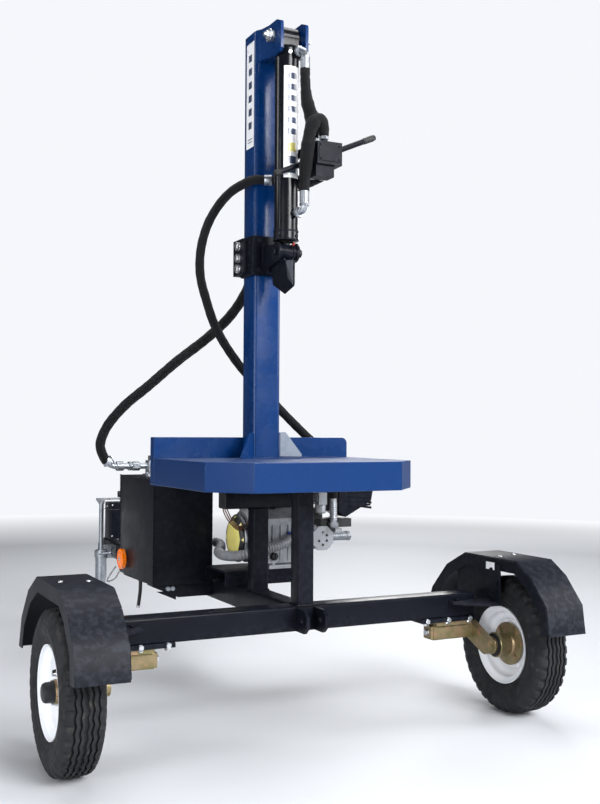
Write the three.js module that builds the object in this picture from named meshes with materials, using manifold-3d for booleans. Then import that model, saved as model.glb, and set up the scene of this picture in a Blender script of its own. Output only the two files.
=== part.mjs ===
// Towable upright hydraulic log splitter. Millimetres, +Z up, +Y is the towing direction.
import * as THREE from 'three';
import { mergeVertices } from 'three/examples/jsm/utils/BufferGeometryUtils.js';
import { ConvexGeometry } from 'three/examples/jsm/geometries/ConvexGeometry.js';
import Module from 'manifold-3d';

const wasm = await Module();
wasm.setup();

// ---------- driving dimensions ----------
const GAP = 0.3;                 // air between touching pieces
const MID_Y = 833.5;             // working frame to bounding-box centre
const GROUND = 3;                // working frame to the floor

const TRACK_HALF = 682.5;        // wheel centre from the middle
const WHEEL_Y = -82;
const WHEEL_Z = 201;
const TYRE_R = 204;
const TYRE_W = 110;
const RIM_R = 116;

const BEAM = { half: 575, y: 35, z0: 284, z1: 354 };
const DRAWBAR = { x: 32, y1: 1840 };
const POST = 25;
const REAR_POST_Y = 270;
const CROSS = { x: 117, y0: 270, y1: 330, z0: 605, z1: 665 };

const TABLE = { front: -182, shoulder: -74, xf: 224, xs: 321, xb: 329, back: 325.7, z0: 680, z1: 760 };
const FENCE = { y0: 326, y1: 360, top: 823 };
const MAST = { x: 45, y0: 235, y1: 325, top: 2071 };

const RAM_Y = 108;               // cylinder axis
const RAM_R = 35.5;
const RAM_Z0 = 1404;
const RAM_Z1 = 1978;
const PIVOT_Z = 2010;
const ROD_R = 17.5;
const EYE_Z = 1371;

const TANK = { x0: -246, x1: -42, y0: 574, y1: 952, z0: 341, z1: 685 };
const ENGINE_Y = 455;
const JOCKEY = { x: -92, y: 1752 };
const HITCH_Y = 1975;

// ---------- helpers ----------
const group = new THREE.Group();
group.name = 'log_splitter';

const paint = {
  black: { color: 0x23262d, roughness: 0.35 },
  blue: { color: 0x123a86, roughness: 0.25 },
  white: { color: 0xdfe5ee, roughness: 0.4 },
  gold: { color: 0x9a8a5e, roughness: 0.4, metalness: 0.8 },
  zinc: { color: 0xb8bdc6, roughness: 0.3, metalness: 0.9 },
  chrome: { color: 0xd5d8dc, roughness: 0.1, metalness: 1 },
  cast: { color: 0xa2a6ab, roughness: 0.55, metalness: 0.6 },
  rubber: { color: 0x1b1c1f, roughness: 0.85 },
  hose: { color: 0x15161a, roughness: 0.8 },
  orange: { color: 0xff8a10, roughness: 0.3 },
};

function solid(geometry) {
  const g = geometry.clone();
  for (const k of Object.keys(g.attributes)) if (k !== 'position') g.deleteAttribute(k);
  const m = mergeVertices(g, 1e-4);
  const index = m.index ? m.index.array : Uint32Array.from({ length: m.attributes.position.count }, (_, i) => i);
  return new wasm.Manifold(new wasm.Mesh({
    numProp: 3,
    vertProperties: Float32Array.from(m.attributes.position.array),
    triVerts: Uint32Array.from(index),
  }));
}

function back(manifold) {
  const mesh = manifold.getMesh();
  const g = new THREE.BufferGeometry();
  g.setAttribute('position', new THREE.BufferAttribute(Float32Array.from(mesh.vertProperties), 3));
  g.setIndex(new THREE.BufferAttribute(Uint32Array.from(mesh.triVerts), 1));
  return g;
}

const join = (...parts) => back(parts.map(solid).reduce((a, b) => a.add(b)));
const cut = (first, ...rest) => back(rest.map(solid).reduce((a, b) => a.subtract(b), solid(first)));

function add(name, geometry, finish) {
  const g = geometry.clone();
  g.translate(0, -MID_Y, GROUND);
  const mesh = new THREE.Mesh(g.index ? g.toNonIndexed() : g,
    new THREE.MeshStandardMaterial({ name, ...paint[finish] }));
  mesh.geometry.computeVertexNormals();
  mesh.name = name;
  group.add(mesh);
}

function box(x0, x1, y0, y1, z0, z1) {
  return new THREE.BoxGeometry(x1 - x0, y1 - y0, z1 - z0)
    .translate((x0 + x1) / 2, (y0 + y1) / 2, (z0 + z1) / 2);
}

function outline(points) {
  return new THREE.Shape(points.map(([a, b]) => new THREE.Vector2(a, b)));
}

function extrude(shape, depth) {
  return new THREE.ExtrudeGeometry(shape, { depth, bevelEnabled: false, curveSegments: 6 });
}

const basis = (u, v, w) => new THREE.Matrix4().makeBasis(
  new THREE.Vector3(...u), new THREE.Vector3(...v), new THREE.Vector3(...w));
const ALONG_X = basis([0, 1, 0], [0, 0, 1], [1, 0, 0]);
const ALONG_Y = basis([0, 0, 1], [1, 0, 0], [0, 1, 0]);

// prisms: outline in the two other axes, given as [y, z], [z, x] or [x, y]
const prismX = (points, x0, x1) => extrude(outline(points), x1 - x0).applyMatrix4(ALONG_X).translate(x0, 0, 0);
const prismY = (points, y0, y1) => extrude(outline(points), y1 - y0).applyMatrix4(ALONG_Y).translate(0, y0, 0);
const prismZ = (points, z0, z1) => extrude(outline(points), z1 - z0).translate(0, 0, z0);

function roundRect(u0, u1, v0, v1, r) {
  const points = [];
  const corners = [[u1 - r, v1 - r, 0], [u0 + r, v1 - r, 1], [u0 + r, v0 + r, 2], [u1 - r, v0 + r, 3]];
  for (const [u, v, q] of corners) {
    for (let i = 0; i <= 3; i++) {
      const a = (q + i / 3) * Math.PI / 2;
      points.push([u + r * Math.cos(a), v + r * Math.sin(a)]);
    }
  }
  return points;
}

const TURN = { X: ['rotateZ', -Math.PI / 2], Y: ['rotateX', 0], Z: ['rotateX', Math.PI / 2] };

// round bar along an axis from a0 to a1, centred on the two other coordinates
function bar(axis, r, a0, a1, p, q, sides = 24, r2 = r) {
  const g = new THREE.CylinderGeometry(r2, r, a1 - a0, sides);
  const [turn, angle] = TURN[axis];
  g[turn](angle);
  const m = (a0 + a1) / 2;
  if (axis === 'X') return g.translate(m, p, q);
  if (axis === 'Y') return g.translate(p, m, q);
  return g.translate(p, q, m);
}

// a turning profile [[distance along the axis, radius], ...] in the order that faces outwards
function wound(profile) {
  const area = profile.reduce((sum, [a, r], i) => {
    const [b, q] = profile[(i + 1) % profile.length];
    return sum + r * b - q * a;
  }, 0);
  return (area > 0 ? profile : [...profile].reverse()).map(([a, r]) => new THREE.Vector2(r, a));
}

// profile turned about the X axis
function turnedX(profile, x, y, z, sides = 36) {
  const g = new THREE.LatheGeometry(wound(profile), sides);
  return g.rotateZ(-Math.PI / 2).translate(x, y, z);
}

function turnedZ(profile, x, y, sides = 28) {
  const g = new THREE.LatheGeometry(wound(profile), sides);
  return g.rotateX(Math.PI / 2).translate(x, y, 0);
}

function tube(points, r, steps, sides = 8) {
  const path = new THREE.CatmullRomCurve3(points.map((p) => new THREE.Vector3(...p)), false, 'centripetal');
  const ring = Array.from({ length: sides }, (_, i) => {
    const a = (i / sides) * Math.PI * 2;
    return new THREE.Vector2(r * Math.cos(a), r * Math.sin(a));
  });
  return new THREE.ExtrudeGeometry(new THREE.Shape(ring), { steps, extrudePath: path, bevelEnabled: false });
}

const hull = (points) => new ConvexGeometry(points.map((p) => new THREE.Vector3(...p)));
const mirrorX = (geometry) => {
  const m = solid(geometry).mirror([1, 0, 0]);
  return back(m);
};
const sided = (side, geometry) => (side > 0 ? geometry : mirrorX(geometry));
const SIDES = [['left', -1], ['right', 1]];

// ---------- chassis ----------
function axleBeam() {
  const { half, y, z0, z1 } = BEAM;
  const shell = cut(prismX(roundRect(-y, y, z0, z1, 7), -half, half),
    prismX(roundRect(-y + 5, y - 5, z0 + 5, z1 - 5, 3), -half - 1, half + 1));
  const parts = [shell];
  for (const s of [-1, 1]) {
    const lug = cut(prismX([[-34, 287], [-34, 350], [-90, 350], [-108, 334], [-108, 303], [-90, 287]], 24, 34),
      bar('X', 10, 23, 35, -76, 319));
    parts.push(sided(s, lug));
    parts.push(sided(s, box(385, half, -40, 40, 273, z0 + 1)));
  }
  return join(...parts);
}

function drawbar() {
  const { x, y1 } = DRAWBAR;
  const { z0, z1 } = BEAM;
  return cut(prismY(roundRect(z0, z1, -x, x, 7), BEAM.y + GAP, y1),
    prismY(roundRect(z0 + 5, z1 - 5, -x + 5, x - 5, 3), BEAM.y - 1, y1 + 1));
}

const postTube = (y0, z0, z1) => cut(prismZ(roundRect(-POST, POST, y0, y0 + 2 * POST, 5), z0, z1),
  prismZ(roundRect(-POST + 4, POST - 4, y0 + 4, y0 + 2 * POST - 4, 2), z0 - 1, z1 + 1));

function chassis() {
  add('axle_beam', axleBeam(), 'black');
  add('drawbar', drawbar(), 'black');
  add('front_post', postTube(-BEAM.y - 1, BEAM.z1 + GAP, TABLE.z1 - 8 - GAP), 'black');
  add('rear_post', postTube(REAR_POST_Y, BEAM.z1 + GAP, CROSS.z0 - GAP), 'black');
  const { x, y0, y1, z0, z1 } = CROSS;
  add('cross_member', prismX(roundRect(y0, y1, z0, z1, 6), -x, x), 'black');
}

// ---------- table ----------
function plan(inset) {
  const t = TABLE;
  const k = inset * 0.45;
  return [[-t.xf + k, t.front + inset], [t.xf - k, t.front + inset], [t.xs - inset, t.shoulder + k],
    [t.xb - inset, t.back - inset], [-t.xb + inset, t.back - inset], [-t.xs + inset, t.shoulder + k]];
}

function table() {
  const { z0, z1 } = TABLE;
  const well = MAST.x + GAP;
  add('table_top', cut(prismZ(plan(0), z0, z1), prismZ(plan(8), z0 - 1, z1 - 8),
    box(-well, well, MAST.y0 - GAP, MAST.y1 + 5, z0 - 1, z1 + 1)), 'blue');
  const { y0, y1, top } = FENCE;
  const x = TABLE.xb;
  const face = [[z0, -x], [z0, x], [top - 16, x], [top - 9, x - 2.5], [top - 2.5, x - 9], [top, x - 16], [top, -x]];
  add('rear_fence', cut(prismY(face, y0, y1), box(-x + 8, x - 8, y0 + 8, y1 + 1, z0 - 1, top - 8)), 'blue');
}

// ---------- mast ----------
function mastTube() {
  const { x, y0, y1, top } = MAST;
  const z0 = CROSS.z1 + GAP;
  const shell = cut(prismZ(roundRect(-x, x, y0, y1, 11), z0, top),
    prismZ(roundRect(-x + 6, x - 6, y0 + 6, y1 - 6, 5), z0 - 1, top - 6));
  const foot = TABLE.z1 + GAP;
  const brace = hull([[41, 238.5, foot], [45, 244.5, foot], [98, 193, foot], [102.5, 198.6, foot],
    [41, 238.5, foot + 76], [45, 244.5, foot + 76], [58, 225, foot + 76], [62.5, 230.6, foot + 76],
    [98, 193, foot + 8], [102.5, 198.6, foot + 8]]);
  return join(shell, brace, mirrorX(brace));
}

function mast() {
  add('mast', mastTube(), 'blue');
  const { x, y0 } = MAST;
  const y = y0 - GAP;
  const cheek = cut(prismX([[y, 2070], [190, 2059], [139, 2052], [83, 2051], [58, 2040], [55, 2030], [55, 1960],
    [64, 1952], [102, 1951], [145, 1956], [y, 1972]], x - 9.2, x), bar('X', 10.4, x - 11, x + 1, RAM_Y, PIVOT_Z));
  for (const [side, s] of SIDES) add(`cheek_${side}`, sided(s, cheek), 'blue');
}

// ---------- hydraulic ram ----------
const PORT = { x: 0.3, y: -0.954 };   // the way both ports point

function port(z) {
  const at = (d) => [PORT.x * d, RAM_Y + PORT.y * d];
  const [x0, y0] = at(30);
  const [x1, y1] = at(47);
  return tube([[x0, y0, z], [x1, y1, z]], 12, 1, 16);
}

function barrel() {
  const lid = RAM_Z1 - 22;
  const body = turnedZ([[RAM_Z0, 17.9], [RAM_Z0, 37], [RAM_Z0 + 26, 37], [RAM_Z0 + 26, RAM_R], [RAM_Z1, RAM_R],
    [RAM_Z1, 0], [lid, 0], [lid, 30], [RAM_Z0 + 42, 30], [RAM_Z0 + 42, 17.9], [RAM_Z0, 17.9]], 0, RAM_Y, 24);
  const lug = box(-26, 26, RAM_Y - 28, RAM_Y + 28, RAM_Z1 - 6, PIVOT_Z);
  const eye = bar('X', 30, -26, 26, RAM_Y, PIVOT_Z, 28);
  return cut(join(body, lug, eye, port(1958), port(1482)), bar('X', 10.4, -28, 28, RAM_Y, PIVOT_Z));
}

function elbow(z, up) {
  const at = (d, dz) => [PORT.x * d, RAM_Y + PORT.y * d, z + dz];
  const s = up ? 1 : -1;
  const bend = tube([at(47.5, 0), at(60, 0), at(71, s * 4), at(77, s * 13), at(78, s * 26)], 10, 10, 12);
  const nut = tube([at(47.5, 0), at(60, 0)], 15, 1, 6);
  const ferrule = tube([at(78, s * 22), at(78, s * 58)], 13.5, 1, 14);
  return join(bend, nut, ferrule);
}

function ram() {
  add('ram_barrel', barrel(), 'black');
  const eye = bar('X', 23, -13.5, 13.5, RAM_Y, EYE_Z, 28);
  const rod = join(bar('Z', 12.5, EYE_Z, 1404, 0, RAM_Y, 20), bar('Z', ROD_R, 1402, 1950, 0, RAM_Y, 24));
  const piston = bar('Z', 29.6, 1908, 1950, 0, RAM_Y, 32);
  const pin = join(bar('X', 11, -32, 32, RAM_Y, EYE_Z, 20), bar('X', 18, 25, 38, RAM_Y, EYE_Z, 20));
  add('ram_rod', join(eye, rod, piston, pin), 'chrome');
  const bolt = join(bar('X', 10, -52, 52, RAM_Y, PIVOT_Z, 20), bar('X', 17.3, -58, -MAST.x - GAP, RAM_Y, PIVOT_Z, 6),
    bar('X', 17.3, MAST.x + GAP, 60, RAM_Y, PIVOT_Z, 6));
  add('pivot_bolt', bolt, 'zinc');
  add('port_elbow_upper', elbow(1958, false), 'zinc');
  add('port_elbow_lower', elbow(1482, true), 'zinc');
}

// ---------- splitting carriage ----------
function carriage() {
  const plate = box(-58, 58, 219, 231, 1316, 1436);
  const cheek = box(46, 58, 219, 312, 1316, 1436);
  const arm = cut(join(prismX([[220, 1406], [220, 1326], [108, 1347], [108, 1395]], 14.3, 24.3),
    bar('X', 24, 14.3, 24.3, RAM_Y, EYE_Z, 28)), bar('X', 11.4, 13, 26, RAM_Y, EYE_Z, 20));
  const rib = prismX([[220, 1345], [220, 1320], [182, 1320], [182, 1345]], -24.3, 24.3);
  add('carriage_slide', join(plate, cheek, mirrorX(cheek), arm, mirrorX(arm), rib), 'black');
  const web = box(-70.3, 70.3, 331, 343, 1324, 1434);
  const ear = prismX([[262, 1328], [266, 1324], [343, 1324], [343, 1434], [268, 1434], [262, 1428]], 58.3, 70.3);
  add('carriage_clamp', join(web, ear, mirrorX(ear)), 'black');
  const w = 14;
  const sides = [];
  for (const s of [-w, w]) {
    sides.push([s, 178, 1346], [s, 82, 1346], [s * 0.75, 178, 1284], [s * 0.6, 74, 1284]);
  }
  add('splitting_blade', hull([...sides, [0, 52, 1346], [0, 48, 1264], [0, 178, 1277], [0, 112, 1247]]), 'black');
}

// ---------- control valve ----------
const LEVER = { y: 58, x0: -62, z0: 1586, x1: 272, z1: 1736, pivot: 86 };

function valve() {
  const upper = prismY([[1617, 46], [1682, 46], [1684, 60], [1684, 126], [1617, 126]], -6, 48);
  const lower = box(46, 105, 4, 48, 1583, 1618);
  const backPorts = [60, 94].map((x) => bar('Y', 12, 47, 72, x, 1598, 12));
  const topPorts = [[56, 40], [72, 6]].map(([x, y]) => bar('Z', 11, 1680, 1702, x, y, 12));
  add('control_valve', join(upper, lower, ...backPorts, ...topPorts), 'black');
  add('valve_bracket', box(46 - 8.3, 46 - GAP, 20, MAST.y0 - GAP, 1655, 1680), 'black');
  const { y, x0, z0, x1, z1, pivot } = LEVER;
  const z = z0 + (z1 - z0) * (pivot - x0) / (x1 - x0);
  add('control_lever', join(tube([[x0, y, z0], [x1, y, z1]], 8.5, 1, 12), bar('Y', 14, 48.4, 68, pivot, z, 16)), 'black');
}

// ---------- hoses ----------
const PRESSURE = [[322, 404, 620], [322, 404, 636], [321, 400, 690], [300, 386, 750], [240, 380, 800],
  [170, 380, 860], [100, 382, 925], [45, 388, 985], [-10, 392, 1034], [-74, 392, 1113], [-113, 387, 1174], [-142, 386, 1250],
  [-163, 386, 1328], [-163, 384, 1407], [-144, 376, 1487], [-118, 352, 1545], [-96, 310, 1580], [-77, 262, 1596],
  [-58, 214, 1603], [-18, 192, 1602], [24, 174, 1599], [55, 140, 1598], [60, 105, 1598], [60, 72.5, 1598]];
const RETURN = [[-352, 758, 738], [-368, 752, 764], [-378, 742, 795], [-366, 715, 850], [-325, 650, 922],
  [-262, 590, 988], [-185, 530, 1068], [-100, 480, 1144], [-40, 440, 1212], [0, 408, 1286], [28, 384, 1380],
  [50, 372, 1470], [72, 352, 1545], [84, 310, 1588], [88, 250, 1600], [92, 190, 1600], [94, 130, 1598],
  [94, 72.5, 1598]];
const UPPER = [[23.4, 33.6, 1899.5], [23.4, 33.6, 1888], [26, 34, 1840], [32, 36, 1805], [42, 38, 1778],
  [51, 40, 1750], [56, 40, 1725], [56, 40, 1702.5]];
const LOWER = [[23.4, 33.6, 1540.5], [23.4, 33.6, 1552], [22, 26, 1610], [22, 14, 1660], [26, 5, 1710], [42, 2, 1750],
  [60, 3, 1756], [72, 6, 1734], [72, 6, 1702.5]];
const SUCTION = [[-39, 625, 470], [-22, 625, 470], [-4, 606, 464], [-12, 572, 454], [-36, 534, 446], [-45, 480, 442],
  [-45, 420, 445], [-36, 372, 450], [-6, 349, 458], [50, 346, 470], [108, 348, 483], [150, 362, 497], [182, 371, 505],
  [203.2, 371, 505]];

function hoses() {
  add('hose_pressure', tube(PRESSURE, 14, 56), 'hose');
  add('hose_return', tube(RETURN, 16, 40), 'hose');
  add('hose_ram_upper', tube(UPPER, 14, 16), 'hose');
  add('hose_ram_lower', tube(LOWER, 14, 20), 'hose');
  add('hose_suction', tube(SUCTION, 16, 34), 'cast');
}

// ---------- oil tank ----------
function tank() {
  const { x0, x1, y0, y1, z0, z1 } = TANK;
  const shell = cut(prismZ(roundRect(x0, x1, y0, y1, 5), z0, z1), box(x0 + 3, x1 - 3, y0 + 3, y1 - 3, z0 + 3, z1 - 3),
    bar('Z', 30, z1 - 4, z1 + 1, -180, 760, 24));
  add('oil_tank', join(shell, bar('X', 19, x1 - 2, x1 + 2, 625, 470, 16)), 'black');
  const head = join(bar('Z', 44, z1 + GAP, z1 + 10, -180, 760, 28), bar('Z', 34, z1 + 9, z1 + 56, -180, 760, 28),
    bar('Z', 26, z1 + 55, z1 + 72, -180, 760, 6));
  const spout = join(tube([[-205, 760, 722], [-300, 760, 722], [-326, 759.6, 723], [-340, 759, 728], [-347, 758.5, 734]], 10, 12, 12),
    bar('X', 16, -262, -236, 760, 722, 6), bar('X', 15, -318, -292, 760, 722, 12));
  add('tank_return_head', join(head, spout), 'zinc');
  const floor = z0 - GAP;
  const side = -DRAWBAR.x - GAP;
  const arm = (y) => prismY([[floor, side], [floor - 8, side], [floor - 8, -238], [floor, -238]], y, y + 60);
  const lip = prismY([[floor, side], [floor - 46, side], [floor - 46, -150], [floor - 8, -238], [floor, -238]], 600, 608);
  add('tank_bracket', join(arm(600), arm(870), lip,
    prismY([[floor, side], [floor - 46, side], [floor - 46, -150], [floor - 8, -238], [floor, -238]], 922, 930),
    box(-60, side, 600, 930, floor - 8, floor)), 'black');
}

// ---------- engine and pump ----------
function engine() {
  const y = ENGINE_Y;
  const rails = prismX([[385, 354 + GAP], [391, 354 + GAP], [391, 394], [554, 394], [554, 354 + GAP], [560, 354 + GAP],
    [560, 400], [385, 400]], -72, 226);
  add('engine_base', rails, 'black');
  const block = prismX([[392, 418], [404, 404], [520, 404], [532, 418], [532, 545], [505, 590], [425, 590], [392, 560]],
    74, 228);
  const feet = box(80, 216, 386, 540, 400 + GAP, 412);
  add('engine_block', join(block, feet, bar('X', 40, 227, 244, y - 25, 495, 24)), 'cast');
  const fins = [];
  for (let i = 0; i < 9; i++) fins.push(box(120, 262, 418, 522, 604 + i * 11, 609 + i * 11));
  const head = join(box(138, 244, 434, 506, 590 + GAP, 716), ...fins, prismZ(roundRect(126, 256, 424, 516, 14), 702, 742));
  add('engine_cylinder', head, 'cast');
  const housing = turnedX([[0, 0], [0, 78], [12, 87], [62, 87], [62, 0]], 11, y, 505, 28);
  add('fan_housing', join(housing, prismX([[y - 60, 560], [y + 60, 560], [y + 52, 668], [y - 52, 668]], 28, 73)), 'cast');
  add('recoil_cover', join(turnedX([[0, 0], [0, 60], [8, 69], [28.5, 72], [28.5, 0]], -18, y, 497, 32),
    bar('Y', 9, y - 92, y - 60, -4, 540, 12)), 'black');
  const fuel = prismX([[y - 56, 757], [y - 44, 748], [y + 82, 748], [y + 98, 760], [y + 98, 806], [y + 80, 820],
    [y - 40, 820], [y - 56, 804]], 20, 262);
  add('fuel_tank', join(fuel, bar('Z', 27, 819, 838, 96, y + 20, 20)), 'black');
  const silencer = cut(prismY([[556, 372], [608, 470], [640, 476], [700, 476], [700, 346], [572, 346]], 408, 512),
    box(352, 466, 412, 508, 612, 696), bar('X', 12, 464, 480, 460, 668, 16));
  add('silencer', join(silencer, box(262 + GAP, 350, 445, 485, 640, 680)), 'black');
  add('air_cleaner', join(box(282, 400, 420, 500, 522, 551), box(228 + GAP, 300, 440, 480, 548, 588)), 'black');
}

function pump() {
  const z = 495;
  const y = ENGINE_Y - 25;
  const flange = prismX(roundRect(y - 40, y + 40, z - 40, z + 40, 16), 244 + GAP, 256);
  add('pump_flange', join(flange, bar('X', 34, 255, 262, y, z, 24)), 'cast');
  const c = 256;
  const a = 38.5;
  const b = 16;
  const octagon = [[z - a, c - b], [z - a, c + b], [z - b, c + a], [z + b, c + a], [z + a, c + b],
    [z + a, c - b], [z + b, c - a], [z - b, c - a]];
  const body = join(prismY(octagon, 352, 362), box(262 + GAP, 300, 392, 468, 458, 520), bar('Y', 18, 361, 393, 282, z, 20),
    bar('X', 14, 204, 235, 371, 505, 16), bar('X', 13, 284, 366, 372, z + 3, 16));
  const riser = join(box(310, 334, 366, 414, 500, 524), bar('Z', 11.5, 523, 620 - GAP, 322, 404, 16));
  add('hydraulic_pump', join(body, riser), 'zinc');
}

// ---------- running gear ----------
function suspension(side, s) {
  const unit = join(prismX(roundRect(-22.5, 22.5, 217, 262, 5), 437, 576), box(440, 566, -34, 34, 261, 272.7),
    box(428, 438, -20, 20, 220, 259));
  add(`suspension_${side}`, sided(s, unit), 'gold');
  const yz = [[0, 240, 27], [WHEEL_Y, WHEEL_Z, 25]];
  const arm = prismX(armOutline(yz), 576 + GAP, 600);
  const spindle = bar('X', 15, 599, 704, WHEEL_Y, WHEEL_Z, 20);
  const shoulder = bar('X', 24, 599, 612, WHEEL_Y, WHEEL_Z, 24);
  add(`suspension_arm_${side}`, sided(s, join(arm, spindle, shoulder)), 'gold');
}

function armOutline([[y0, z0, r0], [y1, z1, r1]]) {
  const a = Math.atan2(z1 - z0, y1 - y0);
  const points = [];
  for (let i = 0; i <= 10; i++) {
    const t = a + Math.PI / 2 + (i / 10) * Math.PI;
    points.push([y0 + r0 * Math.cos(t), z0 + r0 * Math.sin(t)]);
  }
  for (let i = 0; i <= 10; i++) {
    const t = a - Math.PI / 2 + (i / 10) * Math.PI;
    points.push([y1 + r1 * Math.cos(t), z1 + r1 * Math.sin(t)]);
  }
  return points;
}

function wheel(side, s) {
  const hub = turnedX([[614, 15.4], [614, 37], [624, 37], [626, 32], [662, 32], [664, 64], [673, 64], [675, 31],
    [716, 30], [718, 26], [740, 25], [744, 20], [744, 0], [706, 0], [706, 15.4], [614, 15.4]], 0, WHEEL_Y, WHEEL_Z, 20);
  add(`hub_${side}`, sided(s, hub), 'gold');
  const c = TRACK_HALF;
  const t = 4;
  const rim = turnedX([[c - 46, RIM_R], [c - 46, RIM_R - t], [c - 34, 97], [c - 20, 95], [c - 14, 84], [c - 4, 74],
    [c - 4, 33], [c, 33], [c, 74], [c + 2, 80], [c + 22, 84], [c + 30, 97], [c + 42, RIM_R - t], [c + 46, RIM_R - t],
    [c + 46, RIM_R], [c + 40, RIM_R], [c + 32, 101], [c + 20, 99], [c + 14, 88], [c - 10, 88], [c - 16, 99],
    [c - 30, 101], [c - 40, RIM_R], [c - 46, RIM_R]], 0, WHEEL_Y, WHEEL_Z, 28);
  add(`rim_${side}`, sided(s, rim), 'white');
  const w = TYRE_W / 2;
  const tyre = turnedX([[c - 39, RIM_R + 1], [c - 46, RIM_R + 4], [c - w + 2, 140], [c - w, 160], [c - w + 5, 180],
    [c - 44, 196], [c - 30, 202], [c, TYRE_R], [c + 30, 202], [c + 44, 196], [c + w - 5, 180], [c + w, 160],
    [c + w - 2, 140], [c + 46, RIM_R + 4], [c + 39, RIM_R + 1], [c + 31, 102], [c + 22, 108], [c + 40, 140],
    [c + 36, 180], [c, 192], [c - 36, 180], [c - 40, 140], [c - 22, 108], [c - 29, 102], [c - 39, RIM_R + 1]],
  0, WHEEL_Y, WHEEL_Z, 32);
  add(`tyre_${side}`, sided(s, tyre), 'rubber');
}

const GUARD = [[-352, 272], [-340, 352], [-270, 428], [-205, 467], [48, 467], [150, 418], [232, 335], [262, 250]];

// the mudguard profile moved inwards, closed well below its ends
function guardInset(d) {
  const line = GUARD.map(([y, z]) => new THREE.Vector2(y, z));
  const points = line.map((p, i) => {
    const a = line[Math.max(i - 1, 0)];
    const b = line[Math.min(i + 1, line.length - 1)];
    const u = i ? p.clone().sub(a).normalize() : b.clone().sub(p).normalize();
    const v = i < line.length - 1 ? b.clone().sub(p).normalize() : u;
    const n1 = new THREE.Vector2(u.y, -u.x);
    const n2 = new THREE.Vector2(v.y, -v.x);
    const m = n1.add(n2).normalize();
    return [p.x + m.x * d / m.dot(n2), p.y + m.y * d / m.dot(n2)];
  });
  return [[points[0][0], 200], ...points, [points[points.length - 1][0], 200]];
}

function mudguard(side, s) {
  const body = prismX([...GUARD].reverse(), 601, 731);
  const guard = cut(body, prismX(guardInset(3).reverse(), 604, 728), prismX(guardInset(38).reverse(), 590, 740));
  const arm = join(box(595, 601.5, -132, -82, 330, 448), prismZ([[480, -60], [566, -134], [601, -134], [601, -35.3],
    [480, -35.3]], 327, 335));
  add(`mudguard_${side}`, sided(s, join(guard, arm)), 'black');
}

function runningGear() {
  for (const [side, s] of SIDES) {
    suspension(side, s);
    wheel(side, s);
    mudguard(side, s);
  }
}

// ---------- towing end ----------
function jockey() {
  const { x, y } = JOCKEY;
  const clamp = join(box(x + 22, -DRAWBAR.x - GAP, y - 24, y + 24, 292, 346), box(x + 20, x + 34, y - 34, y + 34, 300, 338));
  add('jockey_sleeve', cut(join(bar('Z', 24, 204, 326, x, y, 24), clamp), bar('Z', 21, 203, 318, x, y, 24),
    bar('Z', 10.4, 300, 330, x, y, 20)), 'zinc');
  const crank = join(bar('Z', 10, 210, 543, x, y, 16), prismY([[541, x - 22], [549, x - 22], [549, x + 96], [541, x + 96],
    [541, x + 12], [524, x + 10], [524, x - 10]], y - 9, y + 9), bar('Z', 5, 545, 555, x + 84, y, 10),
  bar('Z', 13, 554, 576, x + 84, y, 14));
  add('jockey_crank', crank, 'zinc');
  add('jockey_leg', cut(bar('Z', 20.5, 158, 270, x, y, 24), bar('Z', 10.4, 162, 271, x, y, 20)), 'zinc');
  const fork = join(bar('Z', 16, 150, 158 - GAP, x, y, 20), box(x - 34, x + 34, y - 22, y + 22, 150, 155),
    box(x - 34, x - 29, y - 20, y + 20, 58, 151), box(x + 29, x + 34, y - 20, y + 20, 58, 151),
    bar('X', 6, x - 38, x + 38, y, 72, 14));
  add('jockey_fork', fork, 'zinc');
  add('jockey_wheel', cut(turnedX([[-25, 0], [-25, 48], [-22, 68], [-12, 75], [12, 75], [22, 68], [25, 48], [25, 0]],
    x, y, 72, 28), bar('X', 6.4, x - 30, x + 30, y, 72, 14)), 'rubber');
}

function hitch() {
  const y = HITCH_Y;
  const neck = box(-25, 25, 1700, y - 24, 291, 347);
  const shank = join(neck, box(-30, 30, DRAWBAR.y1 + GAP, y - 22, 287, 351));
  const head = turnedZ([[286, 26], [286, 44], [330, 42], [352, 30], [358, 0], [340, 0], [318, 26], [286, 26]], 0, y, 28);
  add('hitch_head', join(cut(shank, bar('Z', 40, 280, 360, 0, y, 24)), head), 'black');
  add('hitch_latch', join(prismX([[y - 70, 351.5], [y - 22, 359], [y - 22, 372], [y - 88, 388], [y - 108, 410],
    [y - 118, 404], [y - 100, 376], [y - 76, 362]], -13, 13)), 'zinc');
  const stay = join(box(-DRAWBAR.x, -20, 1640, 1712, 354 + GAP, 358), box(-28, -20, 1640, 1712, 355, 386));
  add('tool_box', join(prismZ(roundRect(-88, 52, 1632, 1716, 8), 384, 537), stay), 'black');
  add('side_reflector', join(bar('X', 35, -261, -251, 886, 394, 28), bar('X', 8, -252, TANK.x0 - GAP, 886, 394, 10)), 'orange');
}

chassis();
table();
mast();
ram();
carriage();
valve();
hoses();
tank();
engine();
pump();
runningGear();
jockey();
hitch();

export default group;
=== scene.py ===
"""Looks for the towable log splitter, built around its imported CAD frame.

Places are given in millimetres in the working frame of part.mjs (X to the valve's side, Y to the hitch,
Z up from 3 mm under the axle datum); at() turns them into metres in the row frame.
"""
import bpy
import bmesh
from math import cos, exp, pi, radians, sin
from mathutils import Vector, Matrix


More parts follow.
